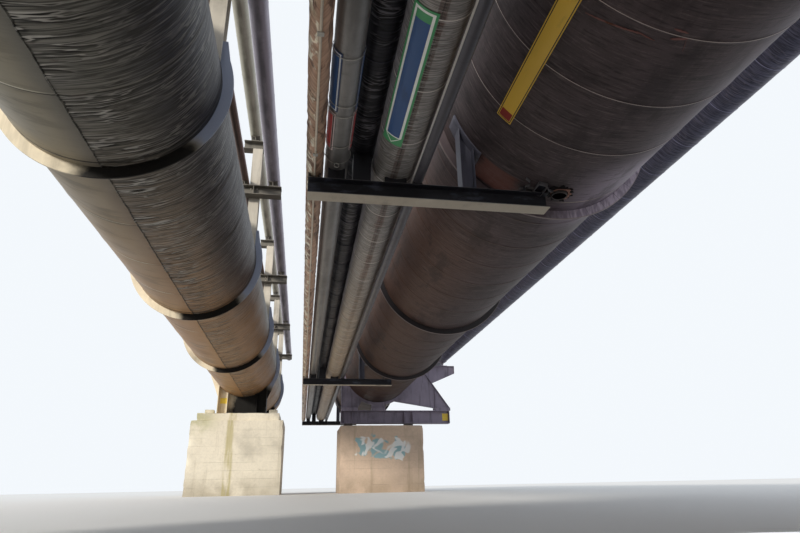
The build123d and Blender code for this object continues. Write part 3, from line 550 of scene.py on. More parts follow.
def old_coating(name, run, base):
    """The bare main: burnt umber coating with fine streaks round it, rust scabs, pale scuffs, and a painted
    lavender sky sheen on its lower right near the camera and by the drain.
    """
    made = Finish(name, metallic=0.1, roughness=0.5, specular=0.2)
    made.body = made.shaded(base, tint(base, 0.6), tint(base, 1.35), 0.55, (1, 1.3, 1))
    thin = made.noise(1.0, (4.5, 48.0, 4.5), detail=5, roughness=0.62, distortion=0.3)
    broad = made.noise(1.0, (1.9, 5.0, 1.9), detail=6, roughness=0.66, shift=(3, 0, 1))
    made.lay(tint(base, 1.5), made.band(broad, 0.5, 0.68), 0.35)
    made.lay(tint(base, 0.42), made.band(broad, 0.48, 0.34), 0.6)
    across, angle, below = made.off("X", run.x), made.angle(run), made.tilt(0.0, -0.5)
    near = made.band("Y", -BAY * 0.6, -BAY * 1.2)
    # Painted lavender sky sheen on the lower right near the camera
    made.lay(paint(128, 116, 132), made.band(across, 0.1, 1.0), near, below, 0.5)
    # Stronger painted lavender sheen below the pipe by the drain
    sheen_by_drain = made.times(made.window("Y", -5.75, -5.0, 0.6), made.band(across, -0.2, 0.5))
    made.lay(paint(158, 146, 162), sheen_by_drain, below, 0.8)
    scratch = made.times(made.window("Y", -5.342, -5.335, 0.003), made.window(angle, -82.0, -20.0, 12.0))
    made.lay(paint(214, 200, 178), scratch, 0.8)
    made.lay(paint(116, 84, 68), made.band(across, 0.2, -1.1), made.band("Y", -BAY, -BAY * 0.6), 0.6)
    made.lay(paint(72, 52, 40), made.band("Y", -BAY, BAY * 2), 0.6)
    made.lay(paint(140, 128, 126), made.band(thin, 0.54, 0.68), 0.3)
    made.lay(paint(30, 25, 25), made.band(thin, 0.48, 0.34), 0.55)
    dull = made.cloud(0.5, 0.64, 1.0, (2.4, 0.9, 2.4), detail=6, roughness=0.68, shift=(1, 8, 3))
    made.lay(tint(base, 0.4), dull, 0.5)
    scabs = made.cloud(0.675, 0.7, 1.0, (1.6, 4.5, 1.6), detail=9, roughness=0.72, shift=(4, 1, 2))
    made.lay(tint(made.rust, 1.15), scabs, 0.6)
    turn = made.wandering(angle, 6.0, 5.0, detail=5)
    primer = made.times(made.window(turn, -134.0, -118.0, 6.0), made.window("Y", -5.52, -5.2, 0.04))
    made.lay(paint(132, 76, 62), primer, 0.5)
    fine = made.noise(46.0, detail=3)
    made.lay(tint(base, 2.2), made.band(fine, 0.6, 0.76), 0.3)
    rough = made.plus(made.times(thin, 0.3), 0.42)
    return made.finish(rough, ((scabs, 0.003), (broad, 0.002), (thin, 0.0016), (fine, 0.0012)))


def plain_skin(name, run, base, stripe=0.0, roughness=0.4, metallic=0.3, around=7.0, spotty=0.7, extra=None):
    """A smooth pipe skin, darker along the middle of its underside."""
    made = Finish(name, metallic=metallic, roughness=roughness)
    made.body = made.shaded(base, tint(base, 0.65), tint(base, 1.25), 1.4, (1, 0.5, 1))
    across = made.math("ABSOLUTE", made.off("X", run.x))
    middle = made.band(across, run.radius * 0.5, run.radius * 0.12)
    ragged = made.cloud(0.3, 0.6, 5.0, (1, 0.25, 1), detail=5)
    made.lay(tint(base, 0.3), middle, made.tilt(0.0, -0.6), ragged, stripe)
    marks = made.noise(1.0, (around, around * 3.5, around), detail=5, roughness=0.6)
    made.lay(tint(base, 0.55), made.band(marks, 0.55, 0.72), 0.4)
    spots = made.cloud(0.64, 0.7, 6.0, detail=8, roughness=0.7)
    made.lay(made.rust, spots, spotty)
    if extra:
        extra(made)
    rough = made.plus(made.times(marks, 0.3), roughness - 0.1)
    return made.finish(rough, ((marks, 0.002), (spots, 0.001)))


def limb_highlight(made):
    """A painted highlight: a pale line along the left side of the small pipe beside the hangers."""
    side = made.band(made.off("X", GREY.x), -GREY.radius * 0.87, -GREY.radius * 0.93)
    made.lay(paint(244, 240, 236), side, made.band("Y", -5.1, -5.16))


def concrete(name, base, extra):
    """Cast concrete: lifts, pores, rust stains, damp at the foot and dirt runs from the top."""
    made = Finish(name, roughness=0.85)
    made.body = made.shaded(base, tint(base, 0.68), tint(base, 1.15), 0.8)
    grain = made.noise(14.0, detail=8, roughness=0.7)
    made.lay(tint(base, 0.72), made.band(grain, 0.42, 0.62), 0.25)
    runs = made.cloud(0.54, 0.7, 4.4, (1, 1, 0.08), detail=6, roughness=0.6)
    made.lay(mixed(base, paint(120, 104, 74), 0.6), runs, 0.5)
    made.lay(paint(110, 98, 74), made.band("Z", 0.75, 0.1), made.cloud(0.3, 0.6, 1.6, detail=5), 0.45)
    lifts = made.add("ShaderNodeTexWave", {"Vector": made.place, "Scale": 1.25, "Distortion": 0.15},
                     wave_type="BANDS", bands_direction="Z", wave_profile="SAW")
    broken = made.cloud(0.4, 0.6, 0.8, (1.5, 1.5, 3.0), detail=4, shift=(6, 2, 0))
    lift = made.times(made.band(lifts.outputs["Fac"], 0.965, 0.99), broken)
    made.lay(tint(base, 0.5), lift, 0.35)
    cells = made.add("ShaderNodeTexVoronoi", {"Vector": made.place, "Scale": 31.0}, feature="F1")
    pores = made.band(cells.outputs["Distance"], 0.16, 0.07)
    made.lay(tint(base, 0.35), pores, 0.5)
    made.lay(paint(116, 84, 54), made.cloud(0.62, 0.7, 5.0, detail=9, roughness=0.75, shift=(1, 1, 8)), 0.4)
    extra(made)
    return made.finish(None, ((grain, 0.004), (pores, -0.004), (lift, -0.004)))


def moss(made):
    """Green growth at the top of the clad main's piers, and a run down from under its saddle."""
    growth = made.cloud(0.35, 0.6, 1.8, detail=7, roughness=0.65)
    left = made.band("X", LEFT.x - 0.3, LEFT.x - 1.4)
    made.lay(paint(150, 152, 92), made.band("Z", 1.5, 2.3), left, growth, 0.6)
    streak = made.window("X", LEFT.x - 0.28, LEFT.x - 0.1, 0.07)
    made.lay(paint(168, 156, 94), streak, made.cloud(0.36, 0.55, 6.0, (1, 1, 0.15), detail=5), 0.6)


def sprayed(made):
    """Soft patches of sprayed paint on the far pier of the bare main, in no particular shape."""
    far = made.band("Y", 0.0, 0.1)
    here = made.times(made.window("Z", 1.3, 1.55, 0.6), made.window("X", RIGHT.x - 0.6, RIGHT.x + 0.55, 0.8))
    field = made.times(made.math("SUBTRACT", here, 1.0), 0.4)
    teal = made.plus(made.noise(2.6, detail=1, distortion=0.9, shift=(3, 0, 1)), field)
    made.lay(paint(126, 178, 190), far, made.band(teal, 0.42, 0.5), 0.8)
    white = made.plus(made.noise(2.4, detail=1, distortion=1.0, shift=(9, 2, 5)), field)
    made.lay(paint(234, 234, 232), far, made.band(white, 0.43, 0.51), 0.9)


def plate_finish(name, length, width, ground, line, field, edge=0.19, arrow=0.0, stripe=0.0, ends=None):
    """A blank marker plate: a line round a field, a stripe at its start, and an arrow or a coloured end."""
    made = Finish(name, roughness=0.4)
    grime = made.noise(9.0, (1, 0.3, 1), detail=7, roughness=0.65)
    made.place = made.add("ShaderNodeUVMap", uv_map="flat").outputs["UV"]
    side = made.math("MINIMUM", "Y", made.math("SUBTRACT", width, "Y"))
    end = made.math("SUBTRACT", length, "X")
    inside = made.math("MINIMUM", side, "X", end)
    border = width * edge
    drawn = border - 0.02
    sharp = 0.001
    made.body = made.mix(made.band(inside, border - sharp, border), ground, field)
    if arrow:
        start = length - arrow
        head = made.band("X", start, start + 0.002)
        made.lay(ground, head)
        slope = made.times(made.math("ABSOLUTE", made.off("Y", width / 2)), 2 * arrow / width)
        tip = made.math("SUBTRACT", end, 0.02, slope)
        made.lay(line, made.window(tip, 0.0, 0.011, sharp), head)
        made.lay(line, made.window("X", start, start + 0.012, sharp), made.band(side, drawn, border))
        made.lay(line, made.window(inside, drawn, border, sharp), made.band("X", start + 0.002, start))
    else:
        made.lay(line, made.window(inside, border * 0.42, border * 0.78, sharp))
    if stripe:
        across = made.band(side, border, border + sharp)
        made.lay(ground, made.window("X", border, border + stripe, sharp), across)
    if ends is not None:
        made.lay(ends, made.band(end, 0.125, 0.12), made.band(inside, border, border + sharp))
    made.lay(paint(60, 54, 48), made.band(grime, 0.54, 0.75), 0.25)
    return made.finish(made.plus(made.times(grime, 0.4), 0.2), ((grime, 0.0006),))


# Mesh helpers

def turned(bm, run, start, end, inner, outside, steps):
    """A tube turned once round a pipe's axis. outside holds (y, radius) points between its ends."""
    outer, lip = run.radius, 0.004
    profile = [(start, inner), (start, outer - lip), (start + lip, outer), *outside,
               (end - lip, outer), (end, outer - lip), (end, inner)]
    verts = [bm.verts.new((run.x, y, run.z + radius)) for y, radius in profile]
    edges = [bm.edges.new((verts[n - 1], verts[n])) for n in range(len(verts))]
    bmesh.ops.spin(bm, geom=verts + edges, cent=(run.x, 0, run.z), axis=(0, 1, 0), angle=tau,
                   steps=steps, use_merge=True)
    bmesh.ops.recalc_face_normals(bm, faces=bm.faces)


def along(start, end, pitch):
    """Evenly spaced places from start to end, at about a pitch, without the ends."""
    count = max(2, round((end - start) / pitch))
    return [start + (end - start) * n / count for n in range(1, count)]


def outline(run, places, steps=((0, 0),)):
    """Points of a pipe's outline: at each place, steps along it and out from its skin."""
    return [(y + step, run.radius + out) for y in places for step, out in steps]


def crumple(bm, run, height, pitch, reach, seed, calm=lambda angle: 1.0):
    """Presses ridged creases that run round a pipe into its outside."""
    for vert in bm.verts:
        dx, dz = vert.co.x - run.x, vert.co.z - run.z
        radius = hypot(dx, dz)
        if radius < run.radius - 0.012:
            continue
        spot = Vector((dx / reach, vert.co.y / pitch + seed, dz / reach))
        fold = 1 - 2 * abs(noise.noise(spot)) - 0.5 * abs(noise.noise(spot * 2.3))
        push = height * (fold - 1) * calm(degrees(atan2(dz, dx)))
        vert.co.x += dx / radius * push
        vert.co.z += dz / radius * push


def cube(bm, low, high):
    """A cube stretched between two corners."""
    verts = bmesh.ops.create_cube(bm, size=1.0)["verts"]
    bmesh.ops.scale(bm, verts=verts, vec=high - low)
    bmesh.ops.translate(bm, verts=verts, vec=(low + high) / 2)
    return verts


def slab(bm, low, high, chamfer):
    """A block between two corners with its edges broken."""
    before = set(bm.verts)
    verts = cube(bm, Vector(low), Vector(high))
    edges = list({edge for vert in verts for edge in vert.link_edges})
    bmesh.ops.bevel(bm, geom=edges, offset=chamfer, offset_type="OFFSET", segments=1,
                    profile=0.5, affect="EDGES", material=-1)
    return [vert for vert in bm.verts if vert not in before]


def aimed(direction):
    """A turn that takes +Z to a direction."""
    return Vector(direction).to_track_quat("Z", "Y").to_matrix().to_4x4()


def cone(bm, move, foot, top, depth, segments, low=0.0):
    """A round or many-sided block that stands on a matrix's origin, or at a height over it."""
    middle = move @ Matrix.Translation((0, 0, low + depth / 2))
    bmesh.ops.create_cone(bm, cap_ends=True, segments=segments, radius1=foot, radius2=top, depth=depth,
                          matrix=middle)


def bolts(bm, middle, reach, direction, flats):
    """Hexagon heads on washers at the corners of a box round a place. reach is half the box."""
    washer, head = flats * 0.12, flats * 0.55
    for corner in product(*(sorted({-half, half}) for half in reach)):
        move = Matrix.Translation(Vector(middle) + Vector(corner)) @ aimed(direction)
        cone(bm, move, flats * 0.85, flats * 0.85, washer, 12)
        cone(bm, move, flats * 0.577, flats * 0.52, head, 6, washer)


def bar(bm, start, end, radius, segments):
    """A round bar between two points."""
    start, end = Vector(start), Vector(end)
    cone(bm, Matrix.Translation(start) @ aimed(end - start), radius, radius, (end - start).length, segments)


def only_verts(parts):
    """The vertices among a bmesh's parts."""
    return [part for part in parts if isinstance(part, bmesh.types.BMVert)]


def arc_plate(bm, run, start, end, low, high, lift, thickness, pitch):
    """A thin plate bent round a pipe from one angle to another, in degrees."""
    old = len(bm.faces)
    inner, outer = run.radius + lift, run.radius + lift + thickness
    corners = ((start, inner), (end, inner), (end, outer), (start, outer))
    first = [bm.verts.new(run.at(low, radius, y)) for y, radius in corners]
    edges = [bm.edges.new((first[n], first[(n + 1) % 4])) for n in range(4)]
    made = bmesh.ops.spin(bm, geom=first + edges, cent=(run.x, 0, run.z), axis=(0, -1, 0),
                          angle=radians(high - low), steps=max(2, round((high - low) / pitch)))
    for cap in (first, only_verts(made["geom_last"])):
        bmesh.ops.contextual_create(bm, geom=cap)
    bm.faces.ensure_lookup_table()
    bmesh.ops.recalc_face_normals(bm, faces=bm.faces[old:])
    return bm


def ring_set(run, places, half, lift, thickness, pitch, low=-269.9, high=89.9):
    """Like strips bent round a pipe at several places along it."""
    first, *others = places
    bm = arc_plate(bmesh.new(), run, first - half, first + half, low, high, lift, thickness, pitch)
    strip = bm.verts[:] + bm.edges[:] + bm.faces[:]
    for y in others:
        copy = bmesh.ops.duplicate(bm, geom=strip)["geom"]
        bmesh.ops.translate(bm, verts=only_verts(copy), vec=(0, y - first, 0))
    return bm


def flake(bm, run, places, half, lift, thickness, seed):
    """A ragged strip on a pipe that goes through (angle, y) places and narrows at its ends."""
    angles, stations = zip(*places)
    old = set(bm.verts)
    arc_plate(bm, run, -half, half, angles[0], angles[-1], lift, thickness, 0.8)
    for vert in set(bm.verts) - old:
        angle = degrees(atan2(vert.co.z - run.z, vert.co.x - run.x))
        share = (angle - angles[0]) / (angles[-1] - angles[0])
        leg = next((n for n in range(len(angles) - 2) if angle < angles[n + 1]), len(angles) - 2)
        part = (angle - angles[leg]) / (angles[leg + 1] - angles[leg])
        middle = stations[leg] + (stations[leg + 1] - stations[leg]) * part
        wide = max(0.12, sin(pi * min(1.0, max(0.0, share))) ** 0.5)
        side = 1 if vert.co.y > 0 else -1
        jag = 0.75 + 0.6 * noise.noise(Vector((angle * 1.3, side * 5.0, seed)))
        vert.co.y = middle + vert.co.y * wide * jag


def on_skin(run, angle, y):
    """The move from the origin to a place on a pipe's skin, +Z outwards."""
    return Matrix.Translation(run.at(angle, run.radius, y)) @ aimed(run.outward(angle))


def flatten_uv(bm, run, start, low):
    """Gives a bent plate a UV map in metres: along the pipe, then round it."""
    layer = bm.loops.layers.uv.new("flat")
    for face in bm.faces:
        for loop in face.loops:
            dx, dz = loop.vert.co.x - run.x, loop.vert.co.z - run.z
            turn = (degrees(atan2(dz, dx)) - low) % 360
            turn = turn - 360 if turn > 350 else turn
            loop[layer].uv = (loop.vert.co.y - start, radians(turn) * run.radius)


def keep(name, bm, material, slot, *replaces):
    """Makes a bmesh an object of the part with its finish, shaded smooth, that may stand for nodes."""
    mesh = bpy.data.meshes.new(name)
    bm.to_mesh(mesh)
    bm.free()
    mesh.materials.append(material)
    mesh.shade_smooth()
    mesh.set_sharp_from_angle(angle=SMOOTH_UP_TO)
    made = bpy.data.objects.new(name, mesh)
    bpy.context.scene.collection.objects.link(made)
    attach(made, "root")
    if replaces:
        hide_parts(*replaces)


def shell(name, run, wall, steps, material, slot, outside=(), creases=(), ends=None):
    """A turned pipe or sleeve that stands for the run's node. creases is what crumple is given."""
    start, end = ends or (run.start, run.end)
    bm = bmesh.new()
    turned(bm, run, start, end, run.radius - wall, outside, steps)
    if creases:
        crumple(bm, run, *creases)
    keep(name, bm, material, slot, run.node)


def block(name, node, low, high, chip, seed, material, slot, floor=True):
    """A concrete block with uneven faces and chipped edges. Nothing stands proud of it."""
    bm = bmesh.new()
    cube(bm, low, high)
    for axis in range(3):
        normal = Vector((axis == 0, axis == 1, axis == 2))
        for place in along(low[axis], high[axis], CONCRETE_PITCH):
            bmesh.ops.bisect_plane(bm, geom=bm.verts[:] + bm.edges[:] + bm.faces[:],
                                   plane_co=normal * place, plane_no=normal)
    for vert in bm.verts:
        start = vert.co.copy()
        on_faces = [n for n in range(3) if min(start[n] - low[n], high[n] - start[n]) < 1e-4]
        dent = 0.002 + 0.002 * noise.noise(start * 1.7 + Vector((seed, 0, 0)))
        if len(on_faces) > 1:
            bite = max(0.0, noise.noise(start * 4.1 + Vector((0, seed, 0))) - 0.05)
            dent = 0.008 + chip * min(1.0, bite * 2.2)
        for n in on_faces:
            at_low = start[n] - low[n] < 1e-4
            if not (n == 2 and floor and at_low):
                vert.co[n] += dent if at_low else -dent
    keep(name, bm, material, slot, node)


def small_plate(name, low, high, finish, tone, slot):
    """A small blank sign plate."""
    bm = bmesh.new()
    slab(bm, low, high, 0.001)
    keep(name, bm, rusty_paint(finish, tone, amount=0.05, roughness=0.4), slot)


def dress(material, *nodes, edge=0.003):
    """Gives solids their finish, and breaks their edges with modifiers."""
    for node in nodes:
        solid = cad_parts[node]
        solid.data.materials.clear()
        solid.data.materials.append(material)
        weld = solid.modifiers.new("weld", "WELD")
        weld.merge_threshold = 0.0001
        bevel = solid.modifiers.new("edges", "BEVEL")
        bevel.width = edge
        bevel.segments = 2
        bevel.limit_method = "ANGLE"
        bevel.angle_limit = BEVEL_FROM
        bevel.harden_normals = False


# The pieces

def seam_calm(angle):
    """Few creases on the left of the seam under the clad main, many on its right."""
    turn = (angle - SEAM_ANGLE) % 360
    return 0.25 + 0.75 * max(0.0, 1 - turn / 60) if turn < 200 else 0.04


class BRIDGE_OT_left_cladding(bpy.types.Operator):
    """The creased sheet skin of the clad main, one shell between each two rings"""

    bl_idname = "bridge.left_cladding"
    bl_label = "Clad main"

    def execute(self, context):
        sizes, colours = context.scene.bridge_sizes, context.scene.bridge_colours
        slot = "weathered_cladding"
        skin = creased_skin(slot, LEFT, colours.cladding, creases=18.0, reach=1.9, depth=0.022, strength=1.0,
                            grain=0.7, patches=0.0, metallic=0.1, specular=0.2,
                            busy=seam_side, extra=main_tones)
        trim = plain_skin("cladding_seam", LEFT, tint(colours.cladding, 0.45))
        cuts = [LEFT.start, *STATIONS, LEFT.end]
        wall = LEFT.radius - LEFT_STEEL.radius
        lap_steps = ((-0.02, 0), (0, sizes.lap * 0.5), (0.002, -sizes.lap), (0.02, -sizes.lap * 0.8))
        for n, (start, end) in enumerate(zip(cuts, cuts[1:])):
            start += RING_PLATE / 2 if n else 0
            end -= RING_PLATE / 2 if n < len(cuts) - 2 else 0
            laps = [end - sizes.last_sheet - sizes.sheet * m for m in range(4)]
            laps = [y for y in laps if y > start + 0.2]
            between = along(start, end, CREASE_PITCH)
            between = [y for y in between if all(abs(y - lap) > 0.024 for lap in laps)]
            outside = outline(LEFT, between, ((0, -sizes.lap * 0.6),)) + outline(LEFT, laps, lap_steps)
            shell(f"left_cladding_{n + 1}", LEFT, wall, CLAD_STEPS, skin, slot, sorted(outside),
                  (sizes.wrinkle, 0.10, 0.55, 0.0, seam_calm), (start, end))
        bm = bmesh.new()
        for start, end in zip(cuts, cuts[1:]):
            arc_plate(bm, LEFT, start + 0.02, end - 0.02, SEAM_ANGLE - 0.5, SEAM_ANGLE, -0.004, 0.0055, 0.25)
        keep("left_cladding_seam", bm, skin, slot)
        places = [y for start, end in zip(STATIONS, STATIONS[1:]) for y in (start + 0.10, end - 0.10)]
        keep("left_cladding_bands", ring_set(LEFT, places, 0.006, -0.001, 0.003, 3.0), trim, slot)
        return {"FINISHED"}


class BRIDGE_OT_left_pipe(bpy.types.Operator):
    """The steel pipe inside the cladding, seen at its two cut ends"""

    bl_idname = "bridge.left_pipe"
    bl_label = "Clad main's pipe"

    def execute(self, context):
        skin = rusty_paint("dark_steel", paint(70, 64, 60), amount=0.8)
        shell("left_main_steel", LEFT_STEEL, MAIN_WALL, CLAD_STEPS, skin, "dark_steel")
        return {"FINISHED"}


class BRIDGE_OT_left_steel(bpy.types.Operator):
    """Rings, saddles, posts, beams and shoes of the clad main"""

    bl_idname = "bridge.left_steel"
    bl_label = "Clad main's steelwork"

    def execute(self, context):
        colours, sizes = context.scene.bridge_colours, context.scene.bridge_sizes
        # The rings get a painted shadow and painted sky light on their faces
        ring = rusty_paint("ring_paint", colours.ring, amount=0.1, specular=0.2, extra=ring_shade_and_sky_light)
        post = rusty_paint("post_paint", colours.post, amount=0.2, streaks=0.5)
        beam = rusty_paint("beam_paint", tint(colours.post, 0.3), amount=0.35, streaks=0.5)
        dress(ring, "left_rings", "left_saddle_near", "left_saddle_far")
        dress(post, "left_posts")
        dress(beam, "left_upper_beams", "left_lower_beams")
        dress(beam, "left_upper_shoes", "left_lower_shoes", edge=0.001)
        upper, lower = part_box("left_upper_beams")[0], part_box("left_lower_beams")[0]
        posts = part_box("left_posts")
        middle = (posts[0].x + posts[1].x) / 2
        beam_face = lower.y + POST_BEAM / 2 + 0.0055 - STATIONS[0]
        heads = bmesh.new()
        flats = sizes.bolt * 0.8
        for y in STATIONS:
            bolts(heads, (middle, y + beam_face, lower.z + 0.1), (0.06, 0, 0.055), (0, -1, 0), flats)
            bolts(heads, (middle, y, upper.z + 0.015), (0.06, 0.06, 0), (0, 0, 1), flats)
        keep("left_bolts", heads, post, "post_paint")
        places = [y + side * RING_PLATE / 2 for y in RINGS for side in (-1, 1)]
        beads = ring_set(LEFT, places, 0.005, -0.002, 0.008, 3.0, -250, 10)
        keep("left_ring_beads", beads, ring, "ring_paint")
        face = PIERS[1] - RING_PLATE / 2
        small_plate("left_saddle_plate", (LEFT.x - 0.77, face - 0.004, 3.0),
                    (LEFT.x - 0.54, face + 0.001, 3.19), "small_plate_yellow", paint(236, 206, 70),
                    "ring_paint")
        return {"FINISHED"}


class BRIDGE_OT_left_small_pipes(bpy.types.Operator):
    """The pale, dark and rusty pipes on the clad main's posts"""

    bl_idname = "bridge.left_small_pipes"
    bl_label = "Clad main's small pipes"

    def execute(self, context):
        colours = context.scene.bridge_colours
        for node, name, base, sheet, lift, around in (
            ("left_pale_pipe", "pale_paint", colours.pale, 0.95, 0.003, 9.0),
            ("left_dark_pipe", "dark_paint", colours.dark, 0.95, 0.003, 14.0),
            ("left_rust_pipe", "rusty_steel", paint(126, 102, 94), 5.8, 0.002, 7.0),
        ):
            run = Run(node)
            steps = ((-0.03, -lift), (-0.012, 0), (0, 0), (0.001, -lift))
            outside = outline(run, along(run.start, run.end, sheet), steps)
            skin = plain_skin(name, run, base, stripe=0.8, around=around, spotty=0.35)
            shell(node + "_skin", run, SMALL_WALL, 48, skin, name, outside)
        return {"FINISHED"}


def torn_ring(name, place, inner, outer, lift, seed, tone, amount, one_sided):
    """A ring of torn coating or sheet. A one-sided one is torn away towards the clad main."""
    width = outer - inner
    profile = [(inner, -0.012), (inner, lift), (inner + width * 0.4, lift * 1.6),
               (outer, lift), (outer, lift - 0.003), (inner + width * 0.5, -0.012)]
    bm = bmesh.new()
    verts = [bm.verts.new((radius, 0, height)) for radius, height in profile]
    edges = [bm.edges.new((verts[n - 1], verts[n])) for n in range(len(verts))]
    bmesh.ops.spin(bm, geom=verts + edges, cent=(0, 0, 0), axis=(0, 0, 1), angle=tau,
                   steps=56, use_merge=True)
    for vert in bm.verts:
        radius = hypot(vert.co.x, vert.co.y)
        way = Vector((vert.co.x, vert.co.y, 0)) / radius
        jag = noise.noise(way * 3.1 + Vector((seed, 0, 0)))
        jag += 0.9 * noise.noise(way * 9.3 + Vector((0, seed, 0)))
        share = (radius - inner) / width
        side = (place.to_3x3() @ way).x if one_sided else 1.0
        vert.co += way * share * width * 0.95 * max(-0.92, jag + 1.4 * min(0.0, side - 0.55))
        vert.co.z += share * lift * jag
    bmesh.ops.recalc_face_normals(bm, faces=bm.faces)
    bmesh.ops.transform(bm, matrix=place, verts=bm.verts)
    keep(name, bm, rusty_paint(name + "_steel", tone, amount=amount, specular=0.1), "umber_steel")


def torn_drain():
    """Ragged lips round the drain stub, with clips and a small open box beside it, and a near-black disc of
    painted shade inside the stub's mouth.
    """
    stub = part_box("drain_stub")
    place = on_skin(RIGHT, DRAIN_ANGLE, (stub[0].y + stub[1].y) / 2)
    torn_ring("drain_scar", place, 0.078, 0.140, 0.004, 2.0, paint(24, 20, 22), 0.2, one_sided=False)
    torn_ring("drain_lip", place, 0.090, 0.126, 0.012, 9.0, paint(160, 122, 108), 0.4, one_sided=True)
    # A near-black disc of painted shade inside the stub's mouth
    dark = Finish("drain_mouth_shade", paint(12, 10, 11), roughness=1.0, specular=0.0).finish()
    mouth = bmesh.new()
    cone(mouth, place, 0.079, 0.076, 0.02, 40, 0.014)
    keep("drain_mouth", mouth, dark, "umber_steel")
    clips, box = bmesh.new(), bmesh.new()
    for angle, y, turn, half_x, half_y, height in (
        (-112.0, -5.448, 20, 0.005, 0.028, 0.03), (-112.0, -5.620, -25, 0.005, 0.030, 0.03),
        (-110.6, -5.53, 60, 0.005, 0.034, 0.03), (-108.4, -5.511, 10, 0.006, 0.045, 0.03),
        (-100.6, -5.587, -35, 0.005, 0.032, 0.04), (-99.4, -5.56, 15, 0.005, 0.03, 0.03),
    ):
        move = on_skin(RIGHT, angle, y) @ Matrix.Rotation(radians(turn), 4, "Z")
        verts = slab(clips, (-half_x, -half_y, -0.005), (half_x, half_y, height), 0.003)
        bmesh.ops.transform(clips, matrix=move, verts=verts)
    for bm, left, near, right, far, height in (
        (clips, -0.10, -0.05, 0.10, -0.044, 0.05), (clips, -0.10, 0.044, 0.10, 0.05, 0.05),
        (clips, -0.10, -0.05, -0.094, 0.05, 0.05), (clips, 0.094, -0.05, 0.10, 0.05, 0.05),
        (box, -0.10, -0.05, 0.10, 0.05, 0.004),
    ):
        verts = slab(bm, (left, near, -0.005), (right, far, height), 0.001)
        bmesh.ops.transform(bm, matrix=on_skin(RIGHT, -104.8, -5.563), verts=verts)
    keep("drain_clips", clips, rusty_paint("clip_paint", paint(100, 98, 102), amount=0.3), "umber_steel")
    keep("drain_box", box, rusty_paint("drain_box_paint", paint(46, 46, 58), amount=0.2), "umber_steel")


class BRIDGE_OT_right_pipe(bpy.types.Operator):
    """The bare main: plate courses with girth welds, rust scabs, and a torn drain with its clips and box"""

    bl_idname = "bridge.right_pipe"
    bl_label = "Bare main"

    def execute(self, context):
        sizes, bead = context.scene.bridge_sizes, context.scene.bridge_sizes.bead
        ends = [station - sizes.first_course for station in (*STATIONS, STATIONS[-1] + BAY)]
        courses = sorted(end - sizes.course * m for end in ends for m in range(6))
        courses = [y for y in courses if RIGHT.start + 0.1 < y < RIGHT.end - 0.1]
        weld = ((-0.03, 0), (-0.012, 0), (-0.005, bead * 0.8), (0, bead),
                (0.005, bead * 0.8), (0.012, 0), (0.03, 0))
        outside = outline(RIGHT, courses, weld)
        skin = old_coating("umber_steel", RIGHT, context.scene.bridge_colours.umber)
        shell("right_main_steel", RIGHT, MAIN_WALL, BARE_STEPS, skin, "umber_steel", outside)
        near = [y for y in courses if y < STATIONS[2]]
        # The near beads are pale, a painted highlight; the far ones are dark
        for name, tone, places in (
            ("near", paint(196, 182, 176), near),
            ("far", paint(96, 74, 62), courses[len(near):]),
        ):
            pale = rusty_paint("girth_weld_" + name, tone, amount=0.4)
            beads = ring_set(RIGHT, places, 0.0025, bead - 0.001, 0.0016, 2.25)
            keep("right_main_welds_" + name, beads, pale, "umber_steel")
        scabs = bmesh.new()
        for n, (half, *places) in enumerate((
            (0.008, (-129.7, -7.60), (-111, -7.665), (-105.5, -7.65)),
            (0.010, (-102.7, -7.785), (-97.5, -7.78)),
            (0.014, (-101.6, -7.70), (-96, -7.74)),
            (0.006, (-96.5, -7.72), (-94.8, -7.62)),
        )):
            flake(scabs, RIGHT, places, half, -0.001, 0.005, n * 3.0)
        skin = rusty_paint("scab_rust", paint(128, 84, 78), amount=0.7)
        keep("right_main_scabs", scabs, skin, "umber_steel")
        torn_drain()
        return {"FINISHED"}


class BRIDGE_OT_right_steel(bpy.types.Operator):
    """Rings, girders, saddles, brackets and bearings of the bare main"""

    bl_idname = "bridge.right_steel"
    bl_label = "Bare main's steelwork"

    def execute(self, context):
        colours, sizes = context.scene.bridge_colours, context.scene.bridge_sizes
        ring = rusty_paint("ring_umber", tint(colours.umber, 1.7), amount=0.3, extra=ring_faces)
        girder = rusty_paint("girder_paint", colours.girder, amount=0.25, streaks=0.6)
        iron = rusty_paint("bearing_iron", paint(70, 64, 62), amount=0.6)
        dress(ring, "right_rings")
        dress(girder, "right_girder_near", "right_girder_far", "right_saddle_near", "right_saddle_far",
              "outer_brackets")
        dress(girder, "outer_shoes", edge=0.001)
        dress(iron, "right_bearings")
        dress(iron, "drain_stub", edge=0.001)
        heads = bmesh.new()
        for side in ("near", "far"):
            low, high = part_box("right_girder_" + side)
            middle = (low.y + high.y) / 2
            for x in (RIGHT.x - 1.1, RIGHT.x + 1.1):
                bolts(heads, (x, middle, low.z + 0.024), (0.11, 0.1, 0), (0, 0, 1), sizes.bolt)
            foot_low, foot_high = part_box("right_saddle_" + side)
            for x in (foot_low.x + 0.1, foot_low.x + 0.5, foot_high.x - 0.5, foot_high.x - 0.1):
                bolts(heads, (x, middle, high.z + 0.105), (0, 0.1, 0), (0, 0, 1), sizes.bolt)
        keep("right_bolts", heads, girder, "girder_paint")
        low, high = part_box("right_girder_far")
        face = (low.y + high.y) / 2 - 0.007
        small_plate("girder_plate", (high.x - 0.25, face - 0.004, low.z + 0.11),
                    (high.x - 0.03, face + 0.001, low.z + 0.37), "end_plate_yellow", paint(236, 200, 60),
                    "girder_paint")
        return {"FINISHED"}


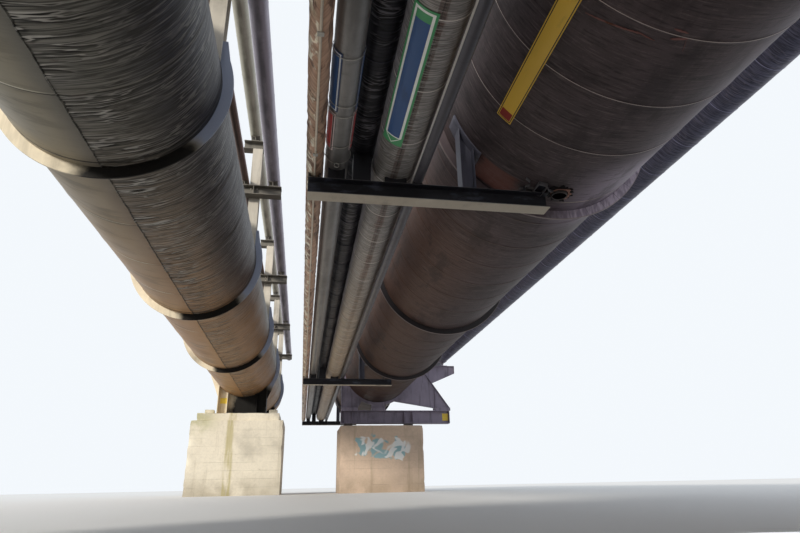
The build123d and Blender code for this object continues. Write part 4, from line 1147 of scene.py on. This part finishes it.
class BRIDGE_OT_outriggers(bpy.types.Operator):
    """Outrigger beams, their hangers, shoes and stools"""

    bl_idname = "bridge.outriggers"
    bl_label = "Outriggers"

    def execute(self, context):
        colours, sizes = context.scene.bridge_colours, context.scene.bridge_sizes
        # The outrigger finish carries painted sheen, painted edge highlights and painted underside light
        dress(rusty_paint("outrigger_paint", colours.outrigger, amount=0.12, extra=outrigger_painted_light),
              "outrigger_beams")
        dress(rusty_paint("hanger_paint", paint(92, 92, 106), amount=0.12, streaks=0.7), "hanger_posts")
        dark = rusty_paint("stool_paint", tint(colours.outrigger, 0.8), amount=0.12)
        dress(dark, "service_shoes", "brown_pipe_shoes", "black_pipe_stools", edge=0.001)
        heads = bmesh.new()
        for y in OUTRIGGERS:
            for run, reach in ((PROCESS, 0.085), (SILVER, 0.06)):
                place = (run.x, y, OUTRIGGER_TOP + 0.012)
                bolts(heads, place, (reach, 0.045, 0), (0, 0, 1), sizes.bolt * 0.6)
        keep("outrigger_bolts", heads, dark, "outrigger_paint")
        return {"FINISHED"}


class BRIDGE_OT_service_pipes(bpy.types.Operator):
    """The service pipes of the bare main"""

    bl_idname = "bridge.service_pipes"
    bl_label = "Service pipes"

    def execute(self, context):
        colours = context.scene.bridge_colours
        # The last column is each skin's painted crease highlight colour, or None for the default
        for run, name, base, slot, creases, height, strength, first_band, band_pitch, extra, highlight_tone in (
            (Run("outer_pipe"), "outer_cladding", colours.outer, "black_cladding", 26.0, 0.002, 0.25,
             -6.06, 0.78, None, paint(176, 170, 188)),
            (Run("black_pipe"), "black_cladding", colours.black, "black_cladding", 20.0, 0.006, 0.9,
             -6.14, 0.735, None, None),
            (PROCESS, "process_cladding", colours.process, "process_cladding", 32.0, 0.002, 0.3,
             -6.14, 0.735, seam_and_stains, None),
        ):
            skin = creased_skin(name, run, base, creases=creases, reach=3.2, depth=0.008, strength=strength,
                                grain=0.6, patches=0.1, extra=extra, highlight_tone=highlight_tone)
            outside = outline(run, along(run.start, run.end, 0.055))
            shell(run.node + "_skin", run, CLAD_WALL, 48, skin, slot, outside, (height, 0.07, 0.3, run.x))
            back = int((first_band - run.start - 0.1) / band_pitch)
            count = int((run.end - 0.1 - first_band) / band_pitch)
            places = [first_band + band_pitch * n for n in range(-back, count + 1)]
            trim = plain_skin(name + "_bands", run, tint(base, 2.2), spotty=0.2)
            keep(run.node + "_bands", ring_set(run, places, 0.004, -0.003, 0.005, 7.5), trim, slot)
        # The brown skin's folds carry painted shade and golden painted highlights
        skin = creased_skin("brown_cladding", BROWN, colours.brown, creases=11.0, reach=3.0, depth=0.006,
                            strength=0.5, grain=0.3, patches=0.1, metallic=0.2, slant=1.1,
                            busy=folded_left, extra=fold_shade_and_highlights, highlight_tone=paint(250, 226, 190))
        outside = outline(BROWN, along(BROWN.start, BROWN.end, 0.05))
        shell("brown_pipe_skin", BROWN, SMALL_WALL, 40, skin, "brown_cladding", outside,
              (0.008, 0.16, 0.1, 3.0))
        skin = plain_skin("silver_cladding", SILVER, colours.silver, stripe=0.5, metallic=0.6, roughness=0.34,
                          spotty=0.15)
        steps = ((-0.03, -0.002), (-0.01, 0), (0, 0), (0.001, -0.003))
        outside = outline(SILVER, along(SILVER.start, SILVER.end, 1.02), steps)
        shell("silver_pipe_skin", SILVER, SMALL_WALL, 56, skin, "silver_cladding", outside)
        # The grey pipe carries a painted highlight along its left side
        skin = plain_skin("grey_paint", GREY, colours.grey, stripe=0.4, roughness=0.32, spotty=0.2,
                          extra=limb_highlight)
        shell("grey_pipe_skin", GREY, SMALL_WALL, 40, skin, "grey_paint")
        skin = plain_skin("conduit_paint", CONDUIT, paint(220, 208, 190), spotty=0.1)
        tube = bmesh.new()
        bar(tube, CONDUIT.at(0, 0, CONDUIT.start), CONDUIT.at(0, 0, CONDUIT.end), CONDUIT.radius, 16)
        keep("cable_conduit_tube", tube, skin, "dark_paint", CONDUIT.node)
        return {"FINISHED"}


class BRIDGE_OT_marker_plates(bpy.types.Operator):
    """Blank marker plates on the pipes, with the wires and clamps beside them"""

    bl_idname = "bridge.marker_plates"
    bl_label = "Marker plates"

    def execute(self, context):
        yellow = paint(240, 196, 74)
        green = {"ground": paint(74, 160, 106), "line": paint(250, 255, 250), "field": paint(42, 84, 140),
                 "arrow": 0.12, "stripe": 0.07}
        blue = {"ground": paint(40, 62, 104), "line": paint(226, 234, 244), "field": paint(58, 96, 150),
                "edge": 0.2}
        red = {"ground": paint(222, 206, 206), "line": paint(50, 36, 40), "field": paint(208, 84, 88),
               "edge": 0.22}
        tailed = {"ground": yellow, "line": paint(44, 34, 28), "field": yellow, "edge": 0.13,
                  "ends": paint(150, 44, 36)}
        for run, name, start, end, low, high, lift, slot, look in (
            (PROCESS, "process_marker", -7.66, -6.09, -152, -100, 0.002, "process_cladding", green),
            (SILVER, "silver_marker_left", -7.13, -6.44, 178, 247, 0.002, "silver_cladding", blue),
            (SILVER, "silver_marker_right", -7.12, -6.41, -33, 0, 0.002, "silver_cladding", blue),
            (SILVER, "silver_marker_red_left", -6.40, -5.85, 180, 241, 0.002, "silver_cladding", red),
            (SILVER, "silver_marker_red_right", -6.41, -5.83, -40, 0, 0.002, "silver_cladding", red),
            (RIGHT, "main_marker", -8.49, -6.186, -140.7, -132.8, 0.006, "umber_steel", tailed),
        ):
            bm = arc_plate(bmesh.new(), run, start, end, low, high, lift, 0.003, 3.0)
            flatten_uv(bm, run, start, low)
            keep(name, bm, plate_finish(name, end - start, radians(high - low) * run.radius, **look), slot)
        wires = ring_set(SILVER, [-7.09, -6.52, -6.38, -5.92, -5.65], 0.003, 0.0045, 0.004, 7.5)
        eye = SILVER.at(-93, SILVER.radius + 0.03, -5.66)
        place = Matrix.Translation(eye + Vector((0.024, 0, 0)))
        rim = bmesh.ops.create_circle(wires, segments=8, radius=0.004, matrix=place)["verts"]
        edges = list({edge for vert in rim for edge in vert.link_edges})
        bmesh.ops.spin(wires, geom=rim + edges, cent=eye, axis=(0, 1, 0), angle=tau, steps=20, use_merge=True)
        bar(wires, BROWN.at(-70, BROWN.radius + 0.004, -5.9),
            SILVER.at(-150, SILVER.radius + 0.004, -5.7), 0.004, 8)
        bmesh.ops.recalc_face_normals(wires, faces=wires.faces)
        steel = plain_skin("wire_steel", SILVER, paint(190, 188, 182), metallic=0.5)
        keep("marker_wires", wires, steel, "silver_cladding")
        clamps = bmesh.new()
        for y in (-7.4, -5.9, -2.9, 0.1, 3.1):
            slab(clamps, (CONDUIT.x - 0.024, y - 0.02, CONDUIT.z - 0.016),
                 (CONDUIT.x + 0.024, y + 0.02, CONDUIT.z - 0.003), 0.002)
        keep("conduit_clamps", clamps, steel, "dark_paint")
        return {"FINISHED"}


class BRIDGE_OT_piers(bpy.types.Operator):
    """Concrete piers, their plinths and guide blocks"""

    bl_idname = "bridge.piers"
    bl_label = "Piers"

    def execute(self, context):
        colours, chip = context.scene.bridge_colours, context.scene.bridge_sizes.chip
        pale = concrete("left_concrete", colours.light_concrete, moss)
        tan = concrete("right_concrete", colours.tan_concrete, sprayed)
        saddle_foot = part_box("left_saddle_near")[0].z
        inset = Vector((PLINTH_INSET, PLINTH_INSET, 0))
        for n, side in enumerate(("near", "far")):
            node = "left_pier_" + side
            low, high = (Vector(corner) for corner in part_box(node))
            high.z = saddle_foot - PLINTH
            block(node + "_body", node, low, high, chip, n * 7.0, pale, "left_concrete")
            low.z, high.z = high.z - 0.02, saddle_foot
            block(node + "_plinth", node, low + inset, high - inset, chip, n * 5.0, pale, "left_concrete",
                  floor=False)
            node = "right_pier_" + side
            low, high = (Vector(corner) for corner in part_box(node))
            block(node + "_body", node, low, high, chip, n * 3.0 + 20, tan, "right_concrete")
        dress(pale, "left_guide_blocks", edge=0.008)
        return {"FINISHED"}


class BRIDGE_OT_stage(bpy.types.Operator):
    """Floor, lamps, world and camera"""

    bl_idname = "bridge.stage"
    bl_label = "Stage"

    def execute(self, context):
        scene = context.scene
        self.lay_floor(scene)
        self.light_world(scene)
        data = bpy.data.lights.new("key", "SUN")
        data.energy = SUN_STRENGTH
        data.angle = SUN_SPREAD
        data.color = SUN_COLOUR
        lamp = bpy.data.objects.new("key", data)
        lamp.matrix_world = aimed(SUN_FROM)
        scene.collection.objects.link(lamp)
        self.place_camera(scene)
        scene.view_settings.view_transform = "Standard"
        return {"FINISHED"}

    def lay_floor(self, scene):
        """A pale floor that keeps the object's shadow."""
        bm = bmesh.new()
        bmesh.ops.create_grid(bm, x_segments=1, y_segments=1, size=FLOOR_HALF)
        mesh = bpy.data.meshes.new("floor")
        bm.to_mesh(mesh)
        bm.free()
        floor = bpy.data.objects.new("floor", mesh)
        scene.collection.objects.link(floor)
        ground = Finish("floor", FLOOR_LIT, roughness=0.9)
        ground.lay(FLOOR_SEEN, ground.add("ShaderNodeLightPath").outputs["Is Camera Ray"])
        mesh.materials.append(ground.finish())

    def light_world(self, scene):
        """A soft sky that lights the object, and a paler one that is seen behind it and in reflections."""
        world = bpy.data.worlds.new("studio")
        scene.world = world
        world.use_nodes = True
        tree = world.node_tree
        light, seen = tree.nodes["Background"], tree.nodes.new("ShaderNodeBackground")
        for node, (tone, strength) in ((light, SKY_LIGHT), (seen, SKY_SEEN)):
            node.inputs["Color"].default_value = tone
            node.inputs["Strength"].default_value = strength
        path = tree.nodes.new("ShaderNodeLightPath")
        shown = path.outputs["Is Camera Ray"]
        for ray in ("Is Glossy Ray", "Is Transmission Ray"):
            either = tree.nodes.new("ShaderNodeMath")
            either.operation = "MAXIMUM"
            tree.links.new(shown, either.inputs[0])
            tree.links.new(path.outputs[ray], either.inputs[1])
            shown = either.outputs[0]
        mix = tree.nodes.new("ShaderNodeMixShader")
        for n, socket in enumerate((shown, light.outputs[0], seen.outputs[0])):
            tree.links.new(socket, mix.inputs[n])
        tree.links.new(mix.outputs[0], tree.nodes["World Output"].inputs["Surface"])

    def place_camera(self, scene):
        """The photograph's camera, turned by its yaw, pitch and roll."""
        flat = Vector((sin(CAMERA_YAW), cos(CAMERA_YAW), 0))
        ahead = flat * cos(CAMERA_PITCH) + Vector((0, 0, sin(CAMERA_PITCH)))
        level = Vector((cos(CAMERA_YAW), -sin(CAMERA_YAW), 0))
        upright = level.cross(ahead)
        right = level * cos(CAMERA_ROLL) + upright * sin(CAMERA_ROLL)
        up = upright * cos(CAMERA_ROLL) - level * sin(CAMERA_ROLL)
        data = bpy.data.cameras.new("camera")
        data.lens = CAMERA_LENS
        data.sensor_width = 36.0
        data.clip_start = CAMERA_NEAR
        data.clip_end = CAMERA_FAR
        camera = bpy.data.objects.new("camera", data)
        place = Vector((RIGHT.x - CAMERA_FROM_MAIN, -CAMERA_STATION, CAMERA_HEIGHT))
        camera.matrix_world = Matrix.Translation(place) @ Matrix((right, up, -ahead)).transposed().to_4x4()
        scene.collection.objects.link(camera)
        scene.camera = camera


class BRIDGE_PT_panel(bpy.types.Panel):
    """The bridge's sizes, colours and pieces"""

    bl_label = "Pipe bridge"
    bl_idname = "BRIDGE_PT_panel"
    bl_space_type = "VIEW_3D"
    bl_region_type = "UI"
    bl_category = "Bridge"

    def draw(self, context):
        column = self.layout.column()
        for group in (context.scene.bridge_sizes, context.scene.bridge_colours):
            for name in group.__annotations__:
                column.prop(group, name)
        for operator in OPERATORS:
            column.operator(operator.bl_idname)


OPERATORS = (
    BRIDGE_OT_left_cladding,
    BRIDGE_OT_left_pipe,
    BRIDGE_OT_left_steel,
    BRIDGE_OT_left_small_pipes,
    BRIDGE_OT_right_pipe,
    BRIDGE_OT_right_steel,
    BRIDGE_OT_outriggers,
    BRIDGE_OT_service_pipes,
    BRIDGE_OT_marker_plates,
    BRIDGE_OT_piers,
    BRIDGE_OT_stage,
)
CLASSES = (BridgeSizes, BridgeColours, *OPERATORS, BRIDGE_PT_panel)


def register():
    for made in CLASSES:
        bpy.utils.register_class(made)
    bpy.types.Scene.bridge_sizes = bpy.props.PointerProperty(type=BridgeSizes)
    bpy.types.Scene.bridge_colours = bpy.props.PointerProperty(type=BridgeColours)


def unregister():
    del bpy.types.Scene.bridge_colours
    del bpy.types.Scene.bridge_sizes
    for made in reversed(CLASSES):
        bpy.utils.unregister_class(made)


def main():
    register()
    for operator in OPERATORS:
        group, name = operator.bl_idname.split(".")
        getattr(getattr(bpy.ops, group), name)()


if __name__ == "__main__":
    main()
